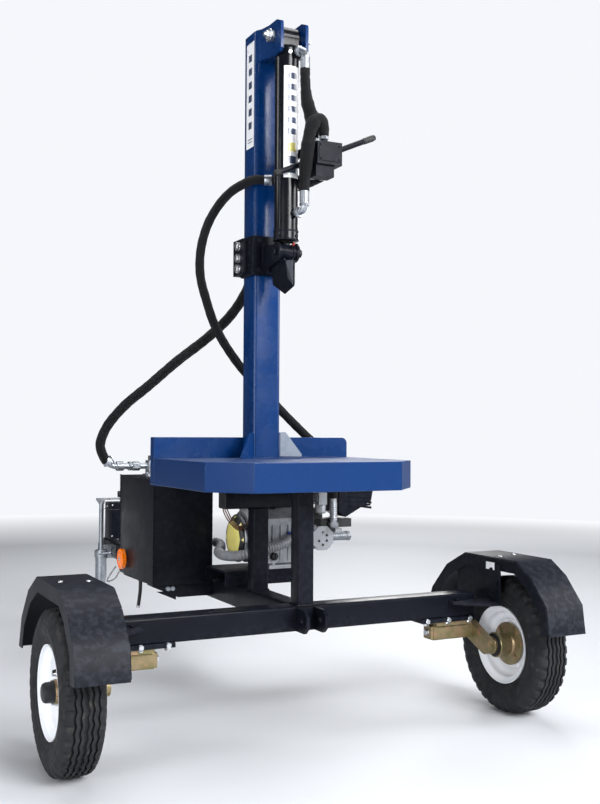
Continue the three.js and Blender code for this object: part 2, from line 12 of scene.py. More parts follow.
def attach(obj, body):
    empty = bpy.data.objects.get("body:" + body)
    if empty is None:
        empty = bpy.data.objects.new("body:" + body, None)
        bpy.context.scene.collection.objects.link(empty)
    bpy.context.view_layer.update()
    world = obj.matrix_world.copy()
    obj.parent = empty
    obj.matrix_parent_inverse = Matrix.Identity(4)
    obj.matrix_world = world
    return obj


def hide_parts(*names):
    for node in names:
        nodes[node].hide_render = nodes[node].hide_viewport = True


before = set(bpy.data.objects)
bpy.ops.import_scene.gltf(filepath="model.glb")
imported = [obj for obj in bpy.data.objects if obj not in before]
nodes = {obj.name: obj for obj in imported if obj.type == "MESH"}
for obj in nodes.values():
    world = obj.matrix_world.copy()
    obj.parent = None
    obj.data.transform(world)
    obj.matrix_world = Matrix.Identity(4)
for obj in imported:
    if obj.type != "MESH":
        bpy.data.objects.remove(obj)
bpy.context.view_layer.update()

MID_Y = 833.5
RAM_Y = 108
PIN_Z = 1371
FLOOR_RADIUS = 7.0
GLOW_FROM, GLOW_TO, GLOW = 4.2, 6.8, 0.88
TAU = 2 * pi
RIGHT, LEFT, BACK, FRONT, UP, DOWN = (1, 0, 0), (-1, 0, 0), (0, 1, 0), (0, -1, 0), (0, 0, 1), (0, 0, -1)


def at(x, y, z):
    return Vector((x / 1000, (y - MID_Y) / 1000, (z + 3) / 1000))


# ---- camera
def make_camera():
    yaw, pitch, roll = (radians(a) for a in (26.326, 1.625, 0.306))
    fw = Vector((sin(yaw) * cos(pitch), cos(yaw) * cos(pitch), sin(pitch)))
    rt = Vector((cos(yaw), -sin(yaw), 0))
    up = rt.cross(fw)
    right = rt * cos(roll) + up * sin(roll)
    top = -rt * sin(roll) + up * cos(roll)
    data = bpy.data.cameras.new("camera")
    data.lens = 46.05
    data.sensor_width = 36
    data.clip_end = 200
    cam = bpy.data.objects.new("camera", data)
    bpy.context.scene.collection.objects.link(cam)
    turn = Matrix((right, top, -fw)).transposed().to_4x4()
    cam.matrix_world = Matrix.Translation(at(-1302.3, -2623.9, 843.1)) @ turn
    bpy.context.scene.camera = cam


make_camera()


# ---- materials
def srgb(code):
    parts = [int(code[i:i + 2], 16) / 255 for i in (0, 2, 4)]
    return [c / 12.92 if c <= 0.04045 else ((c + 0.055) / 1.055) ** 2.4 for c in parts] + [1]


def add_node(tree, kind, inputs=(), **props):
    """A new node with its properties set and its inputs linked or given values."""
    n = tree.nodes.new(kind)
    for key, value in props.items():
        setattr(n, key, value)
    for key, value in dict(inputs).items():
        if isinstance(value, bpy.types.NodeSocket):
            tree.links.new(value, n.inputs[key])
        else:
            n.inputs[key].default_value = value
    return n


class Shader:
    """A Principled material with short calls for the nodes that feed it."""

    def __init__(self, name, color, rough, metal=0.0, **sockets):
        self.mat = bpy.data.materials.new(name)
        self.mat.use_nodes = True
        self.tree = self.mat.node_tree
        self.bsdf = self.tree.nodes["Principled BSDF"]
        self.set("Base Color", srgb(color))
        self.set("Roughness", rough)
        self.set("Metallic", metal)
        for key, value in sockets.items():
            self.set(key.replace("_", " "), value)
        self.coords = self.node("ShaderNodeTexCoord").outputs["Object"]
        self.height = None

    def set(self, socket, value):
        self.bsdf.inputs[socket].default_value = value

    def node(self, kind, inputs=(), **props):
        return add_node(self.tree, kind, inputs, **props)

    def scaled(self, scale, coords=None):
        return self.node("ShaderNodeMapping", {"Vector": coords or self.coords, "Scale": scale}).outputs[0]

    def noise(self, scale, detail=3.0, rough=0.55, coords=None, stretch=None):
        vector = coords or self.coords
        if stretch:
            vector = self.scaled(stretch, vector)
        return self.node("ShaderNodeTexNoise", {"Vector": vector, "Scale": scale, "Detail": detail,
                "Roughness": rough}).outputs["Fac"]

    def math(self, op, a, b=0.0, clamp=False):
        return self.node("ShaderNodeMath", {0: a, 1: b}, operation=op, use_clamp=clamp).outputs[0]

    def ramp(self, fac, lo, hi, a=0.0, b=1.0):
        return self.node("ShaderNodeMapRange", {"Value": fac, "From Min": lo, "From Max": hi, "To Min": a,
                "To Max": b}).outputs[0]

    def tint(self, fac, color):
        """Mixes a colour over the base colour by fac."""
        mix = self.node("ShaderNodeMix", {0: fac}, data_type="RGBA")
        base = self.bsdf.inputs["Base Color"]
        if base.is_linked:
            self.tree.links.new(base.links[0].from_socket, mix.inputs[6])
        else:
            mix.inputs[6].default_value = base.default_value
        mix.inputs[7].default_value = srgb(color)
        self.tree.links.new(mix.outputs[2], base)
        return self

    def roughness(self, fac, lo, hi):
        self.tree.links.new(self.ramp(fac, 0.3, 0.7, lo, hi), self.bsdf.inputs["Roughness"])
        return self

    def bump(self, fac, distance, strength=1.0):
        inputs = {"Height": fac, "Distance": distance, "Strength": strength}
        if self.height:
            inputs["Normal"] = self.height
        self.height = self.node("ShaderNodeBump", inputs).outputs[0]
        self.tree.links.new(self.height, self.bsdf.inputs["Normal"])
        return self

    def edges(self, color, lo=0.53, hi=0.6, amount=0.6):
        """Wear where the surface is sharp, broken up by noise."""
        point = self.node("ShaderNodeNewGeometry").outputs["Pointiness"]
        patchy = self.math("MULTIPLY", self.ramp(point, lo, hi), self.ramp(self.noise(60), 0.45, 0.62))
        return self.tint(self.math("MULTIPLY", patchy, amount, True), color)

    def upward(self):
        """1 on faces that look up, 0 on the others."""
        normal = self.node("ShaderNodeNewGeometry").outputs["Normal"]
        z = self.node("ShaderNodeSeparateXYZ", {0: normal}).outputs[2]
        return self.ramp(z, 0.8, 0.98)

    def dust(self, amount=0.25, color="8f8f8c"):
        fac = self.math("MULTIPLY", self.upward(), self.ramp(self.noise(9, 6), 0.35, 0.75))
        return self.tint(self.math("MULTIPLY", fac, amount, True), color)


def noisy(name, color, rough, metal=0.0, tints=(), vary=None, bumps=(), **sockets):
    """A material whose tint, roughness and bump each come from noise: (noise values, ...) per layer."""
    s = Shader(name, color, rough, metal, **sockets)
    for grain, lo, hi, amount, shade in tints:
        s.tint(s.ramp(s.noise(*grain), lo, hi, 0, amount), shade)
    if vary:
        s.roughness(s.noise(*vary[0]), *vary[1:])
    for grain, distance, strength in bumps:
        s.bump(s.noise(*grain), distance, strength)
    return s


def paint(name, color, dark, light, rough, coat, specular):
    s = noisy(name, color, rough, 0.0, [((4, 3), 0.35, 0.7, 0.2, dark)], ((14, 5), rough - 0.06, rough + 0.1),
        [((260, 2), 0.00012, 0.35), ((7, 3), 0.0004, 0.1)], Coat_Weight=coat, Coat_Roughness=0.12,
        Specular_IOR_Level=specular)
    return s.edges(light, amount=0.25)


def make_table():
    s = paint("paint_blue_lighter_top", "002a5c", "00214b", "2f5296", 0.28, 0.08, 0.22)
    # the upward faces get lighter grey-blue patches and fine lighter streaks, and a glossier finish
    streaks = s.noise(22, 8, 0.7, stretch=(1.0, 7.0, 1.0))
    patches = s.noise(11, 6, 0.65)
    lighter_top = s.math("MULTIPLY", s.upward(), s.ramp(s.math("ADD", streaks, patches), 0.82, 1.12))
    s.tint(s.math("MULTIPLY", lighter_top, 0.3, True), "66718a")
    s.tree.links.new(s.ramp(s.upward(), 0, 1, 0.3, 0.62), s.bsdf.inputs["Roughness"])
    fine = s.math("MULTIPLY", s.upward(), s.ramp(s.noise(120, 6, 0.7, stretch=(0.3, 3, 1)), 0.58, 0.66))
    s.tint(s.math("MULTIPLY", fine, 0.2, True), "9aa2b0")
    return s.mat


def make_mudguard():
    s = noisy("mudguard_black", "10131b", 0.42, 0.0, [((6, 5), 0.35, 0.75, 0.12, "171a20")], ((9, 6), 0.42, 0.49),
        [((420, 2), 0.0002, 0.5), ((5, 2), 0.0006, 0.1)], Specular_IOR_Level=0.12)
    return s.edges("3a3f48", amount=0.4).dust(0.03, "646974").mat


def make_white():
    s = noisy("paint_white", "f2f5fb", 0.36, 0.0, [((16, 6), 0.55, 0.85, 0.25, "a9aeb6")], None,
        [((300, 2), 0.0001, 0.4)], Coat_Weight=0.3, Coat_Roughness=0.2)
    return s.edges("8a8d92", amount=0.25).mat


def make_zinc():
    s = Shader("zinc_silver", "9fa4ab", 0.34, 0.9)
    cells = s.node("ShaderNodeTexVoronoi", {"Vector": s.coords, "Scale": 160.0}).outputs["Color"]
    s.tint(s.ramp(s.node("ShaderNodeSeparateColor", {0: cells}).outputs[0], 0.2, 0.9, 0, 0.35), "7d828a")
    s.tint(s.ramp(s.noise(30, 6), 0.55, 0.75, 0, 0.6), "62666d")
    s.roughness(s.noise(60, 5), 0.24, 0.46)
    return s.bump(s.noise(300, 3), 0.0001, 0.4).mat


def make_sleeve():
    s = Shader("woven_sleeve", "050609", 0.6, Sheen_Weight=0.03, Sheen_Roughness=0.4, Specular_IOR_Level=0.2)
    uv = s.node("ShaderNodeTexCoord").outputs["UV"]
    sides = []
    for sign in (1, -1):
        turned = s.node("ShaderNodeMapping", {"Vector": uv, "Rotation": (0, 0, sign * pi / 4)}).outputs[0]
        sides.append(s.node("ShaderNodeTexWave", {"Vector": turned, "Scale": 6.0, "Distortion": 0.4,
                "Detail": 1.0}).outputs["Fac"])
    weave = s.math("MULTIPLY", *sides)
    s.tint(s.ramp(weave, 0.35, 0.9, 0, 0.4), "12141b")
    s.tint(s.ramp(s.noise(30, 5), 0.5, 0.8, 0, 0.5), "101218")
    s.bump(weave, 0.0009, 0.8)
    s.bump(s.noise(38, 4, stretch=(1, 1, 1.6)), 0.004, 0.5)
    return s.mat


def make_plastic(name, color, light, rough=0.45):
    return noisy(name, color, rough, 0.0, [((20, 5), 0.5, 0.8, 0.4, light)], ((24, 4), rough - 0.08, rough + 0.1),
        [((600, 2), 0.0001, 0.5)]).mat


def make_glowing_orange():
    s = Shader("reflector_lens", "ee6a00", 0.2, Coat_Weight=0.3, Coat_Roughness=0.08)
    # a faint orange emission: a painted glow on the lens, ring and side reflector, which are no lamps
    s.set("Emission Color", srgb("ff7a00"))
    s.set("Emission Strength", 0.1)
    prism = s.node("ShaderNodeTexVoronoi", {"Vector": s.coords, "Scale": 230.0}, feature="F1",
        distance="CHEBYCHEV").outputs["Distance"]
    s.tint(s.ramp(prism, 0.1, 0.6, 0, 0.4), "ff9a1c")
    s.bump(prism, 0.0012, 0.7)
    return s.mat


def make_label(name, color, scuff):
    return noisy(name, color, 0.32, 0.0, [((35, 7, 0.7), 0.56, 0.8, 0.6, scuff)], None, [((90, 3), 0.0002, 0.2)],
        Coat_Weight=0.4, Coat_Roughness=0.15).mat


def make_floor():
    s = Shader("floor_pale", "c0c3c8", 0.6)
    s.tint(s.ramp(s.noise(0.8, 4), 0.4, 0.7, 0, 0.25), "b4b7bc")
    s.bump(s.noise(30, 4), 0.0006, 0.2)
    away = s.node("ShaderNodeVectorMath", {0: s.coords}, operation="LENGTH").outputs["Value"]
    s.tree.links.new(s.ramp(away, GLOW_FROM, GLOW_TO, 0.0, GLOW), s.bsdf.inputs["Emission Strength"])
    s.set("Emission Color", srgb("f4f6f9"))
    return s.mat


BLUE = paint("paint_blue", "002a5c", "00214b", "2f5296", 0.25, 0.08, 0.22).dust(0.06, "5a6f96").mat
BLACK = paint("paint_black", "0e1119", "080a10", "343842", 0.32, 0.03, 0.09).dust(0.04, "565b66").mat
GLOSS = paint("paint_ram", "0a0c12", "07090e", "343842", 0.22, 0.14, 0.15).mat
TABLE_BLUE, GUARD, WHITE, ZINC, SLEEVE = make_table(), make_mudguard(), make_white(), make_zinc(), make_sleeve()
GOLD = noisy("zinc_yellow", "8f7f62", 0.46, 0.7,
    [((26, 4), 0.42, 0.62, 1.0, "7e7650"), ((40, 5), 0.55, 0.72, 0.7, "b98a70"),
        ((70, 6), 0.58, 0.75, 0.8, "5e5338")], ((50, 5), 0.26, 0.5), [((380, 3), 0.00015, 0.5)]).mat
STEEL = noisy("bolt_steel", "c6c9cd", 0.28, 0.95, [((120, 5), 0.5, 0.75, 0.6, "74777c")],
    ((150, 4), 0.2, 0.42), [((700, 2), 0.00008, 0.4)]).mat
CHROME = noisy("chrome_rod", "d4d6d9", 0.07, 1.0, (), ((40, 6, 0.55, None, (1, 1, 0.05)), 0.05, 0.16),
    [((500, 2, 0.55, None, (1, 1, 0.02)), 0.00003, 0.3)]).mat
GROUND = noisy("ground_steel", "4c5058", 0.32, 0.7, (), ((60, 5, 0.55, None, (1, 1, 0.1)), 0.25, 0.45),
    [((400, 3, 0.55, None, (1, 1, 0.06)), 0.0002, 0.5)]).mat
# pale grey steel, used only for the painted highlight on the right gusset
GUSSET_HIGHLIGHT = noisy("gusset_highlight_steel", "7f8894", 0.5, 0.35, [((40, 6), 0.5, 0.75, 0.6, "5f6a7c")], None,
    [((300, 4), 0.0002, 0.5)]).mat
CAST = noisy("cast_aluminium", "9a9da2", 0.5, 0.75, [((18, 6), 0.5, 0.75, 0.7, "55585d")],
    ((30, 5), 0.4, 0.62), [((420, 5, 0.7), 0.0005, 0.6), ((60, 3), 0.001, 0.2)]).mat
TYRE = noisy("tyre_rubber", "121317", 0.72, 0.0,
    [((12, 7), 0.42, 0.72, 0.8, "242529"), ((45, 7), 0.58, 0.8, 0.45, "57534c")],
    ((35, 5), 0.6, 0.85), [((350, 4), 0.0004, 0.5)], Specular_IOR_Level=0.35).mat
SUCTION = noisy("suction_hose", "7c7f84", 0.5, 0.3, [((60, 5), 0.45, 0.75, 0.6, "4a4c50")], None,
    [((300, 4), 0.0003, 0.5)]).mat
PLASTIC = make_plastic("black_plastic", "121317", "2a2c31")
RUBBER = make_plastic("black_rubber", "0e0f11", "26272a", 0.66)
RED = make_plastic("red_plastic", "7d241c", "a5473c", 0.4)
WIRE = make_plastic("wire_brown", "5a3a24", "7d5a3c", 0.5)
GLOWING_ORANGE = make_glowing_orange()
LABEL = make_label("label_white", "e9ebef", "b9bdc6")
LABEL_INK = make_label("label_ink", "39435c", "5f6880")
YELLOW = make_label("label_yellow", "ddd27a", "b5ab68")


SLOTS = {BLACK: "frame_black", GUARD: "frame_black", STEEL: "zinc_plate", ZINC: "zinc_plate", GROUND: "zinc_plate",
    GUSSET_HIGHLIGHT: "zinc_plate", PLASTIC: "black_plastic", RUBBER: "black_plastic", BLUE: "blue_paint", GOLD: "gold_zinc",
    CAST: "cast_aluminium", GLOWING_ORANGE: "orange_lens", SUCTION: "suction_hose", TYRE: "tyre_rubber",
    WHITE: "white_paint", SLEEVE: "hose_rubber", CHROME: "chrome_rod"}


# ---- mesh building
def axes_of(direction):
    d = Vector(direction).normalized()
    side = Vector((0, 0, 1)) if abs(d.z) < 0.9 else Vector((1, 0, 0))
    u = side.cross(d).normalized()
    return d, u, d.cross(u)


def smooth_path(points, step=6.0):
    """A centripetal Catmull-Rom curve through the points, with a point every step mm."""
    p = [Vector(q) for q in points]
    p = [p[0] * 2 - p[1]] + p + [p[-1] * 2 - p[-2]]
    line = []
    for i in range(1, len(p) - 2):
        a, b, c, d = p[i - 1:i + 3]
        t0, t1 = 0.0, (b - a).length ** 0.5
        t2 = t1 + (c - b).length ** 0.5
        t3 = t2 + (d - c).length ** 0.5
        count = max(2, round((c - b).length / step))
        for k in range(count):
            t = t1 + (t2 - t1) * k / count
            a1 = a * ((t1 - t) / (t1 - t0)) + b * ((t - t0) / (t1 - t0))
            a2 = b * ((t2 - t) / (t2 - t1)) + c * ((t - t1) / (t2 - t1))
            a3 = c * ((t3 - t) / (t3 - t2)) + d * ((t - t2) / (t3 - t2))
            b1 = a1 * ((t2 - t) / (t2 - t0)) + a2 * ((t - t0) / (t2 - t0))
            b2 = a2 * ((t3 - t) / (t3 - t1)) + a3 * ((t - t1) / (t3 - t1))
            line.append(b1 * ((t2 - t) / (t2 - t1)) + b2 * ((t - t1) / (t2 - t1)))
    return line + [p[-2]]


CUBE = [(0, 1, 3, 2), (4, 6, 7, 5), (0, 4, 5, 1), (2, 3, 7, 6), (0, 2, 6, 4), (1, 5, 7, 3)]


class Solid:
    """Collects closed forms in working millimetres and makes one mesh object of them."""

    def __init__(self):
        self.points, self.faces, self.uvs = [], [], {}

    def add(self, points, faces, uv=None):
        first = len(self.points)
        self.points += [Vector(p) for p in points]
        for k, f in enumerate(faces):
            if uv:
                self.uvs[len(self.faces)] = uv[k]
            self.faces.append([first + i for i in f])
        return self

    def box(self, x0, x1, y0, y1, z0, z1):
        pts = [(x, y, z) for x in (x0, x1) for y in (y0, y1) for z in (z0, z1)]
        return self.add(pts, CUBE)

    def block(self, centre, size, turn=(0, 0, 0)):
        """A box about its centre, turned by degrees about X, then Y, then Z."""
        spin = Matrix.Rotation(radians(turn[2]), 3, "Z") @ Matrix.Rotation(radians(turn[1]), 3, "Y") \
            @ Matrix.Rotation(radians(turn[0]), 3, "X")
        half = Vector(size) / 2
        pts = [Vector(centre) + spin @ Vector((x * half.x, y * half.y, z * half.z))
            for x in (-1, 1) for y in (-1, 1) for z in (-1, 1)]
        return self.add(pts, CUBE)

    def turn(self, profile, origin, direction, sides=32, phase=0.0):
        """Turns [(distance, radius), ...] about a line; an open profile starts and ends on the axis."""
        d, u, v = axes_of(direction)
        closed = profile[0] == profile[-1]
        rings, pts, faces = [], [], []
        for a, r in (profile[:-1] if closed else profile):
            centre = Vector(origin) + d * a
            if r == 0:
                rings.append([len(pts)])
                pts.append(centre)
                continue
            rings.append(list(range(len(pts), len(pts) + sides)))
            pts += [centre + (u * cos(phase + TAU * k / sides) + v * sin(phase + TAU * k / sides)) * r
                for k in range(sides)]
        if closed:
            rings.append(rings[0])
        for a, b in zip(rings, rings[1:]):
            for k in range(sides):
                n = (k + 1) % sides
                if len(a) == 1 and len(b) > 1:
                    faces.append((a[0], b[k], b[n]))
                elif len(b) == 1 and len(a) > 1:
                    faces.append((a[k], b[0], a[n]))
                elif len(a) > 1:
                    faces.append((a[k], b[k], b[n], a[n]))
        return self.add(pts, faces)

    def ring(self, bore, outline, *where):
        """A turned ring: its outline closed along a bore."""
        foot = (outline[0][0], bore)
        return self.turn([foot, *outline, (outline[-1][0], bore), foot], *where)

    def plug(self, outline, *where):
        """A turned solid form: its outline closed to the axis at both ends."""
        return self.turn([(outline[0][0], 0), *outline, (outline[-1][0], 0)], *where)

    def rod(self, start, end, r, sides=24, r2=None, chamfer=0.0):
        d = Vector(end) - Vector(start)
        r2 = r if r2 is None else r2
        c = chamfer
        profile = [(0, 0), (0, r - c), (c, r), (d.length - c, r2), (d.length, r2 - c), (d.length, 0)]
        return self.turn(profile, start, d, sides)

    def prism(self, outline, offset):
        """Any flat outline of 3D points, moved by an offset."""
        n = len(outline)
        pts = [Vector(p) for p in outline] + [Vector(p) + Vector(offset) for p in outline]
        faces = [tuple(range(n)), tuple(range(2 * n - 1, n - 1, -1))]
        faces += [(k, (k + 1) % n, n + (k + 1) % n, n + k) for k in range(n)]
        return self.add(pts, faces)

    def sweep(self, line, radius, sides=16, twist=0.0):
        """A round tube along a line; radius is a number or a function of the distance along it."""
        size = radius if callable(radius) else (lambda s: radius)
        tangents = [(line[min(i + 1, len(line) - 1)] - line[max(i - 1, 0)]).normalized() for i in range(len(line))]
        u = axes_of(tangents[0])[1]
        pts, faces, uv = [], [], []
        run, rings = 0.0, []
        for i, (p, t) in enumerate(zip(line, tangents)):
            if i:
                run += (p - line[i - 1]).length
            u = (u - t * u.dot(t)).normalized()
            w = t.cross(u)
            rings.append(run)
            for k in range(sides):
                a = TAU * k / sides + twist * run
                pts.append(p + (u * cos(a) + w * sin(a)) * size(run))
        girth = TAU * size(run / 2)
        for i in range(len(line) - 1):
            for k in range(sides):
                n = (k + 1) % sides
                faces.append((i * sides + k, i * sides + n, (i + 1) * sides + n, (i + 1) * sides + k))
                s0, s1 = rings[i] / 10, rings[i + 1] / 10
                c0, c1 = girth * k / sides / 10, girth * (k + 1) / sides / 10
                uv.append([(s0, c0), (s0, c1), (s1, c1), (s1, c0)])
        for ring, centre in ((0, line[0]), (len(line) - 1, line[-1])):
            pts.append(centre)
            for k in range(sides):
                faces.append((len(pts) - 1, ring * sides + k, ring * sides + (k + 1) % sides))
                uv.append([(rings[ring] / 10, 0)] * 3)
        return self.add(pts, faces, uv)

    def weld(self, points, r=3.2, step=1.6):
        """A weld bead with its ripples."""
        line = smooth_path(points, step) if len(points) > 2 else self.straight(points, step)
        return self.sweep(line, lambda s: r * (1 + 0.16 * sin(s * 1.7) + 0.08 * sin(s * 0.31)), 8)

    @staticmethod
    def straight(points, step):
        a, b = Vector(points[0]), Vector(points[1])
        count = max(2, round((b - a).length / step))
        return [a.lerp(b, k / count) for k in range(count + 1)]

    def bolt(self, place, direction, d=8.0, washer=True, nut=False, domed=False):
        """A bolt head or a nut with its washer, standing on a face."""
        washer = washer and not domed
        w = d * 0.2 if washer else 0.0
        if washer:
            self.turn([(0, 0), (0, d), (w * 0.8, d), (w, d * 0.96), (w, 0)], place, direction, 24)
        h, r = d * 0.66, d * 0.98
        if domed:
            dome = [(w, 0), (w, d * 0.9)] + [(w + h * 0.75 * sin(a), d * 0.9 * cos(a))
                for a in (0.3, 0.7, 1.1)] + [(w + h * 0.75, 0)]
            return self.turn(dome, place, direction, 24)
        self.turn([(w, 0), (w, r * 0.95), (w + h * 0.12, r), (w + h * 0.82, r), (w + h, r * 0.86), (w + h, 0)],
            place, direction, 6, 0.4)
        if nut:
            t = [(w + h, 0), (w + h, d / 2)]
            t += [(w + h + d * 0.12 * k, d / 2 - (0.0 if k % 2 else 0.5)) for k in range(1, 6)]
            self.turn(t + [(w + h + d * 0.62, d * 0.4), (w + h + d * 0.62, 0)], place, direction, 20)
        return self

    def object(self, name, material, body="frame", slot=None, bevel=0.0, sharp=40, segments=2):
        mesh = bpy.data.meshes.new(name)
        mesh.from_pydata([at(*p) for p in self.points], [], self.faces)
        if self.uvs:
            layer = mesh.uv_layers.new(name="along")
            for face in mesh.polygons:
                for corner, uv in zip(face.loop_indices, self.uvs.get(face.index, [(0, 0)] * 4)):
                    layer.data[corner].uv = uv
        build = bmesh.new()
        build.from_mesh(mesh)
        bmesh.ops.recalc_face_normals(build, faces=build.faces)
        build.to_mesh(mesh)
        build.free()
        mesh.materials.append(material)
        for face in mesh.polygons:
            face.use_smooth = True
        mesh.set_sharp_from_angle(angle=radians(sharp))
        made = bpy.data.objects.new(name, mesh)
        bpy.context.scene.collection.objects.link(made)
        if bevel:
            soften(made, bevel, segments)
        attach(made, body)
        slot = slot or SLOTS.get(material)
        return made


def soften(piece, width, segments=2, angle=35):
    mod = piece.modifiers.new("rounded", "BEVEL")
    mod.width = width / 1000
    mod.segments = segments
    mod.limit_method = "ANGLE"
    mod.angle_limit = radians(angle)
    mod.harden_normals = True
    mod.miter_outer = "MITER_ARC"


def ring_of(count, radius, centre, phase=0.0):
    """Points round the X axis: [(x, y, z), ...]."""
    x, y, z = centre
    return [(x, y + radius * cos(phase + TAU * k / count), z + radius * sin(phase + TAU * k / count))
        for k in range(count)]


def knurled(cap, count, radius, centre, heights, r):
    """Adds upright ribs round the edge of a cap."""
    for k in range(count):
        x, y = centre[0] + radius * cos(TAU * k / count), centre[1] + radius * sin(TAU * k / count)
        cap.rod((x, y, heights[0]), (x, y, heights[1]), r, 8)
    return cap


def arc(centre, r, a0, a1, count, plane="yz", fixed=0.0):
    pts = []
    for k in range(count + 1):
        a = radians(a0 + (a1 - a0) * k / count)
        p, q = centre[0] + r * cos(a), centre[1] + r * sin(a)
        pts.append({"yz": (fixed, p, q), "xz": (p, fixed, q), "xy": (p, q, fixed)}[plane])
    return pts


# ---- hoses that hang free
PRESSURE = [(322, 404, 620), (322, 404, 636), (321, 400, 690), (300, 386, 750), (240, 380, 800), (170, 380, 860),
    (100, 382, 925), (45, 388, 985), (-10, 392, 1034), (-74, 392, 1113), (-113, 387, 1174), (-142, 386, 1250),
    (-163, 386, 1328), (-163, 384, 1407), (-144, 376, 1487), (-118, 352, 1545), (-96, 310, 1580),
    (-77, 262, 1596), (-58, 214, 1603), (-18, 192, 1602), (24, 174, 1599), (55, 140, 1598), (60, 105, 1598),
    (60, 72.5, 1598)]
RETURN = [
    (-352, 758, 738), (-368, 752, 764), (-378, 742, 795), (-366, 715, 850), (-325, 650, 922), (-262, 590, 988),
    (-185, 530, 1068), (-100, 480, 1144), (-40, 440, 1212), (0, 408, 1286), (28, 384, 1380), (50, 372, 1470),
    (72, 352, 1545), (84, 310, 1588), (88, 250, 1600), (92, 190, 1600), (94, 130, 1598), (94, 72.5, 1598)]


def length_of(line):
    return sum((b - a).length for a, b in zip(line, line[1:]))


def free_hose(name, node, route, r):
    line = smooth_path(route, 5.0)
    total = length_of(line)

    def girth(s):
        wrap = 0.018 * sin(s * 0.19) + 0.012 * sin(s * 0.083 + 1.0)
        return r * (1 + wrap * min(1, s / 40, (total - s) / 40))

    hose = Solid().sweep(line, girth, 28).object(name, SLEEVE, sharp=60)
    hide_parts(node)
    return line


pressure_line = free_hose("pressure_hose", "hose_pressure", PRESSURE, 14)
return_line = free_hose("return_hose", "hose_return", RETURN, 16)


# ---- the CAD nodes' finish
def dress(material, names, bevel=1.0, segments=2):
    for name in names.split():
        piece = nodes[name]
        piece.data.materials.clear()
        piece.data.materials.append(material)
        for face in piece.data.polygons:
            face.use_smooth = True
        if piece.data.has_custom_normals:
            piece.data.attributes.remove(piece.data.attributes["custom_normal"])
        join = piece.modifiers.new("joined", "WELD")
        join.merge_threshold = 0.00002
        flat = piece.modifiers.new("flat", "DECIMATE")
        flat.decimate_type = "DISSOLVE"
        flat.angle_limit = radians(0.6)
        if bevel:
            soften(piece, bevel, segments)


dress(BLACK, "axle_beam drawbar front_post rear_post cross_member tank_bracket engine_base", 0.8)
dress(BLACK, "control_valve valve_bracket control_lever carriage_slide carriage_clamp hitch_head", 0.9)
dress(BLACK, "oil_tank silencer splitting_blade", 1.2)
dress(GLOSS, "ram_barrel", 1.2)
dress(GUARD, "mudguard_left mudguard_right", 1.0)
dress(TABLE_BLUE, "table_top", 2.2, 3)
dress(BLUE, "rear_fence mast cheek_left cheek_right", 1.5, 3)
dress(GOLD, "suspension_left suspension_right suspension_arm_left suspension_arm_right", 1.2)
dress(ZINC, "pivot_bolt port_elbow_upper port_elbow_lower tank_return_head jockey_sleeve jockey_leg", 0.8)
dress(ZINC, "jockey_fork jockey_crank hitch_latch", 0.8)
dress(BLACK, "ram_rod", 0.8)
dress(CAST, "engine_block engine_cylinder fan_housing pump_flange hydraulic_pump", 1.6)
dress(PLASTIC, "fuel_tank air_cleaner recoil_cover", 3.0, 3)
dress(BLACK, "tool_box", 3.0, 3)


# ---- mast, ram and decals
def decals():
    # two blank strips with plain bars in place of lettering
    x = -45.35
    Solid().box(x, x + 0.3, 247, 303, 1716, 2044).object("mast_label", LABEL, bevel=0.1)
    ink = Solid()
    for k in range(6):
        z = 1996 - k * 42
        ink.box(x - 0.12, x, 263, 287, z - 11, z + 11)
    ink.box(x - 0.12, x, 258, 292, 1733, 1736)
    ink.box(x - 0.12, x, 258, 292, 1742, 1745)
    ink.object("mast_label_bars", LABEL_INK)

    r, low, high = 35.75, 1586, 1917
    a0, a1 = radians(231), radians(318)

    def patch(b0, b1, z0, z1, radius, count=14):
        pts, faces = [], []
        for i in range(count + 1):
            a = b0 + (b1 - b0) * i / count
            for z in (z0, z1):
                for rr in (radius - 0.2, radius):
                    pts.append((rr * cos(a), RAM_Y + rr * sin(a), z))
        for i in range(count):
            k, n = 4 * i, 4 * i + 4
            faces += [(k + 1, k + 3, n + 3, n + 1), (k, n, n + 2, k + 2), (k, k + 1, n + 1, n),
                (k + 2, n + 2, n + 3, k + 3)]
        faces += [(0, 2, 3, 1), (4 * count, 4 * count + 1, 4 * count + 3, 4 * count + 2)]
        return pts, faces

    Solid().add(*patch(a0, a1, low, high, r)).object("ram_label", LABEL, sharp=50)
    bars, spot = Solid(), Solid()
    for k in range(6):
        z = 1888 - k * 33
        bars.add(*patch((a0 + a1) / 2 - 0.4, (a0 + a1) / 2 + 0.4, z - 9, z + 9, r + 0.15, 8))
    spot.add(*patch(a0 + 0.35, a1 - 0.35, 1664, 1690, r + 0.15, 8))
    bars.add(*patch(a0 + 0.4, a1 - 0.4, 1628, 1650, r + 0.15, 8))
    bars.add(*patch(a0 + 0.4, a1 - 0.4, 1600, 1616, r + 0.15, 8))
    bars.object("ram_label_bars", LABEL_INK, sharp=50)
    spot.object("ram_label_panel", YELLOW, sharp=50)


def mast_details():
    beads = Solid()
    for s in (-1, 1):
        beads.weld([(s * 47, 233, 762), (s * 47, 330, 762)], 3.4)
        beads.weld([(s * 48, 240, 763), (s * 101, 198.5, 763)], 3)
        beads.weld([(s * 46.5, 243, 765), (s * 46.5, 243, 839)], 2.6)
        beads.weld([(s * 40, 234, 1974), (s * 40, 234, 2066)], 2.6)
    beads.weld([(-45, 233, 762), (45, 233, 762)], 3.4)
    beads.object("mast_welds", BLUE)
    cap = Solid()
    cap.prism([(x, y, 2070.6) for x, y in ((-38, 242), (38, 242), (38, 318), (-38, 318))], (0, 0, 0.9))
    cap.object("mast_cap_plate", BLUE, bevel=0.6)
    trim = Solid()
    for s in (-1, 1):
        trim.ring(11, [(0, 20), (2.2, 20)], (s * 58, RAM_Y, 2010), (s, 0, 0), 28)
    trim.bolt((-60, RAM_Y, 2010), LEFT, 13, False, True)
    trim.bolt((60, RAM_Y, 2010), RIGHT, 13, False, True)
    trim.object("mast_bolts", STEEL)


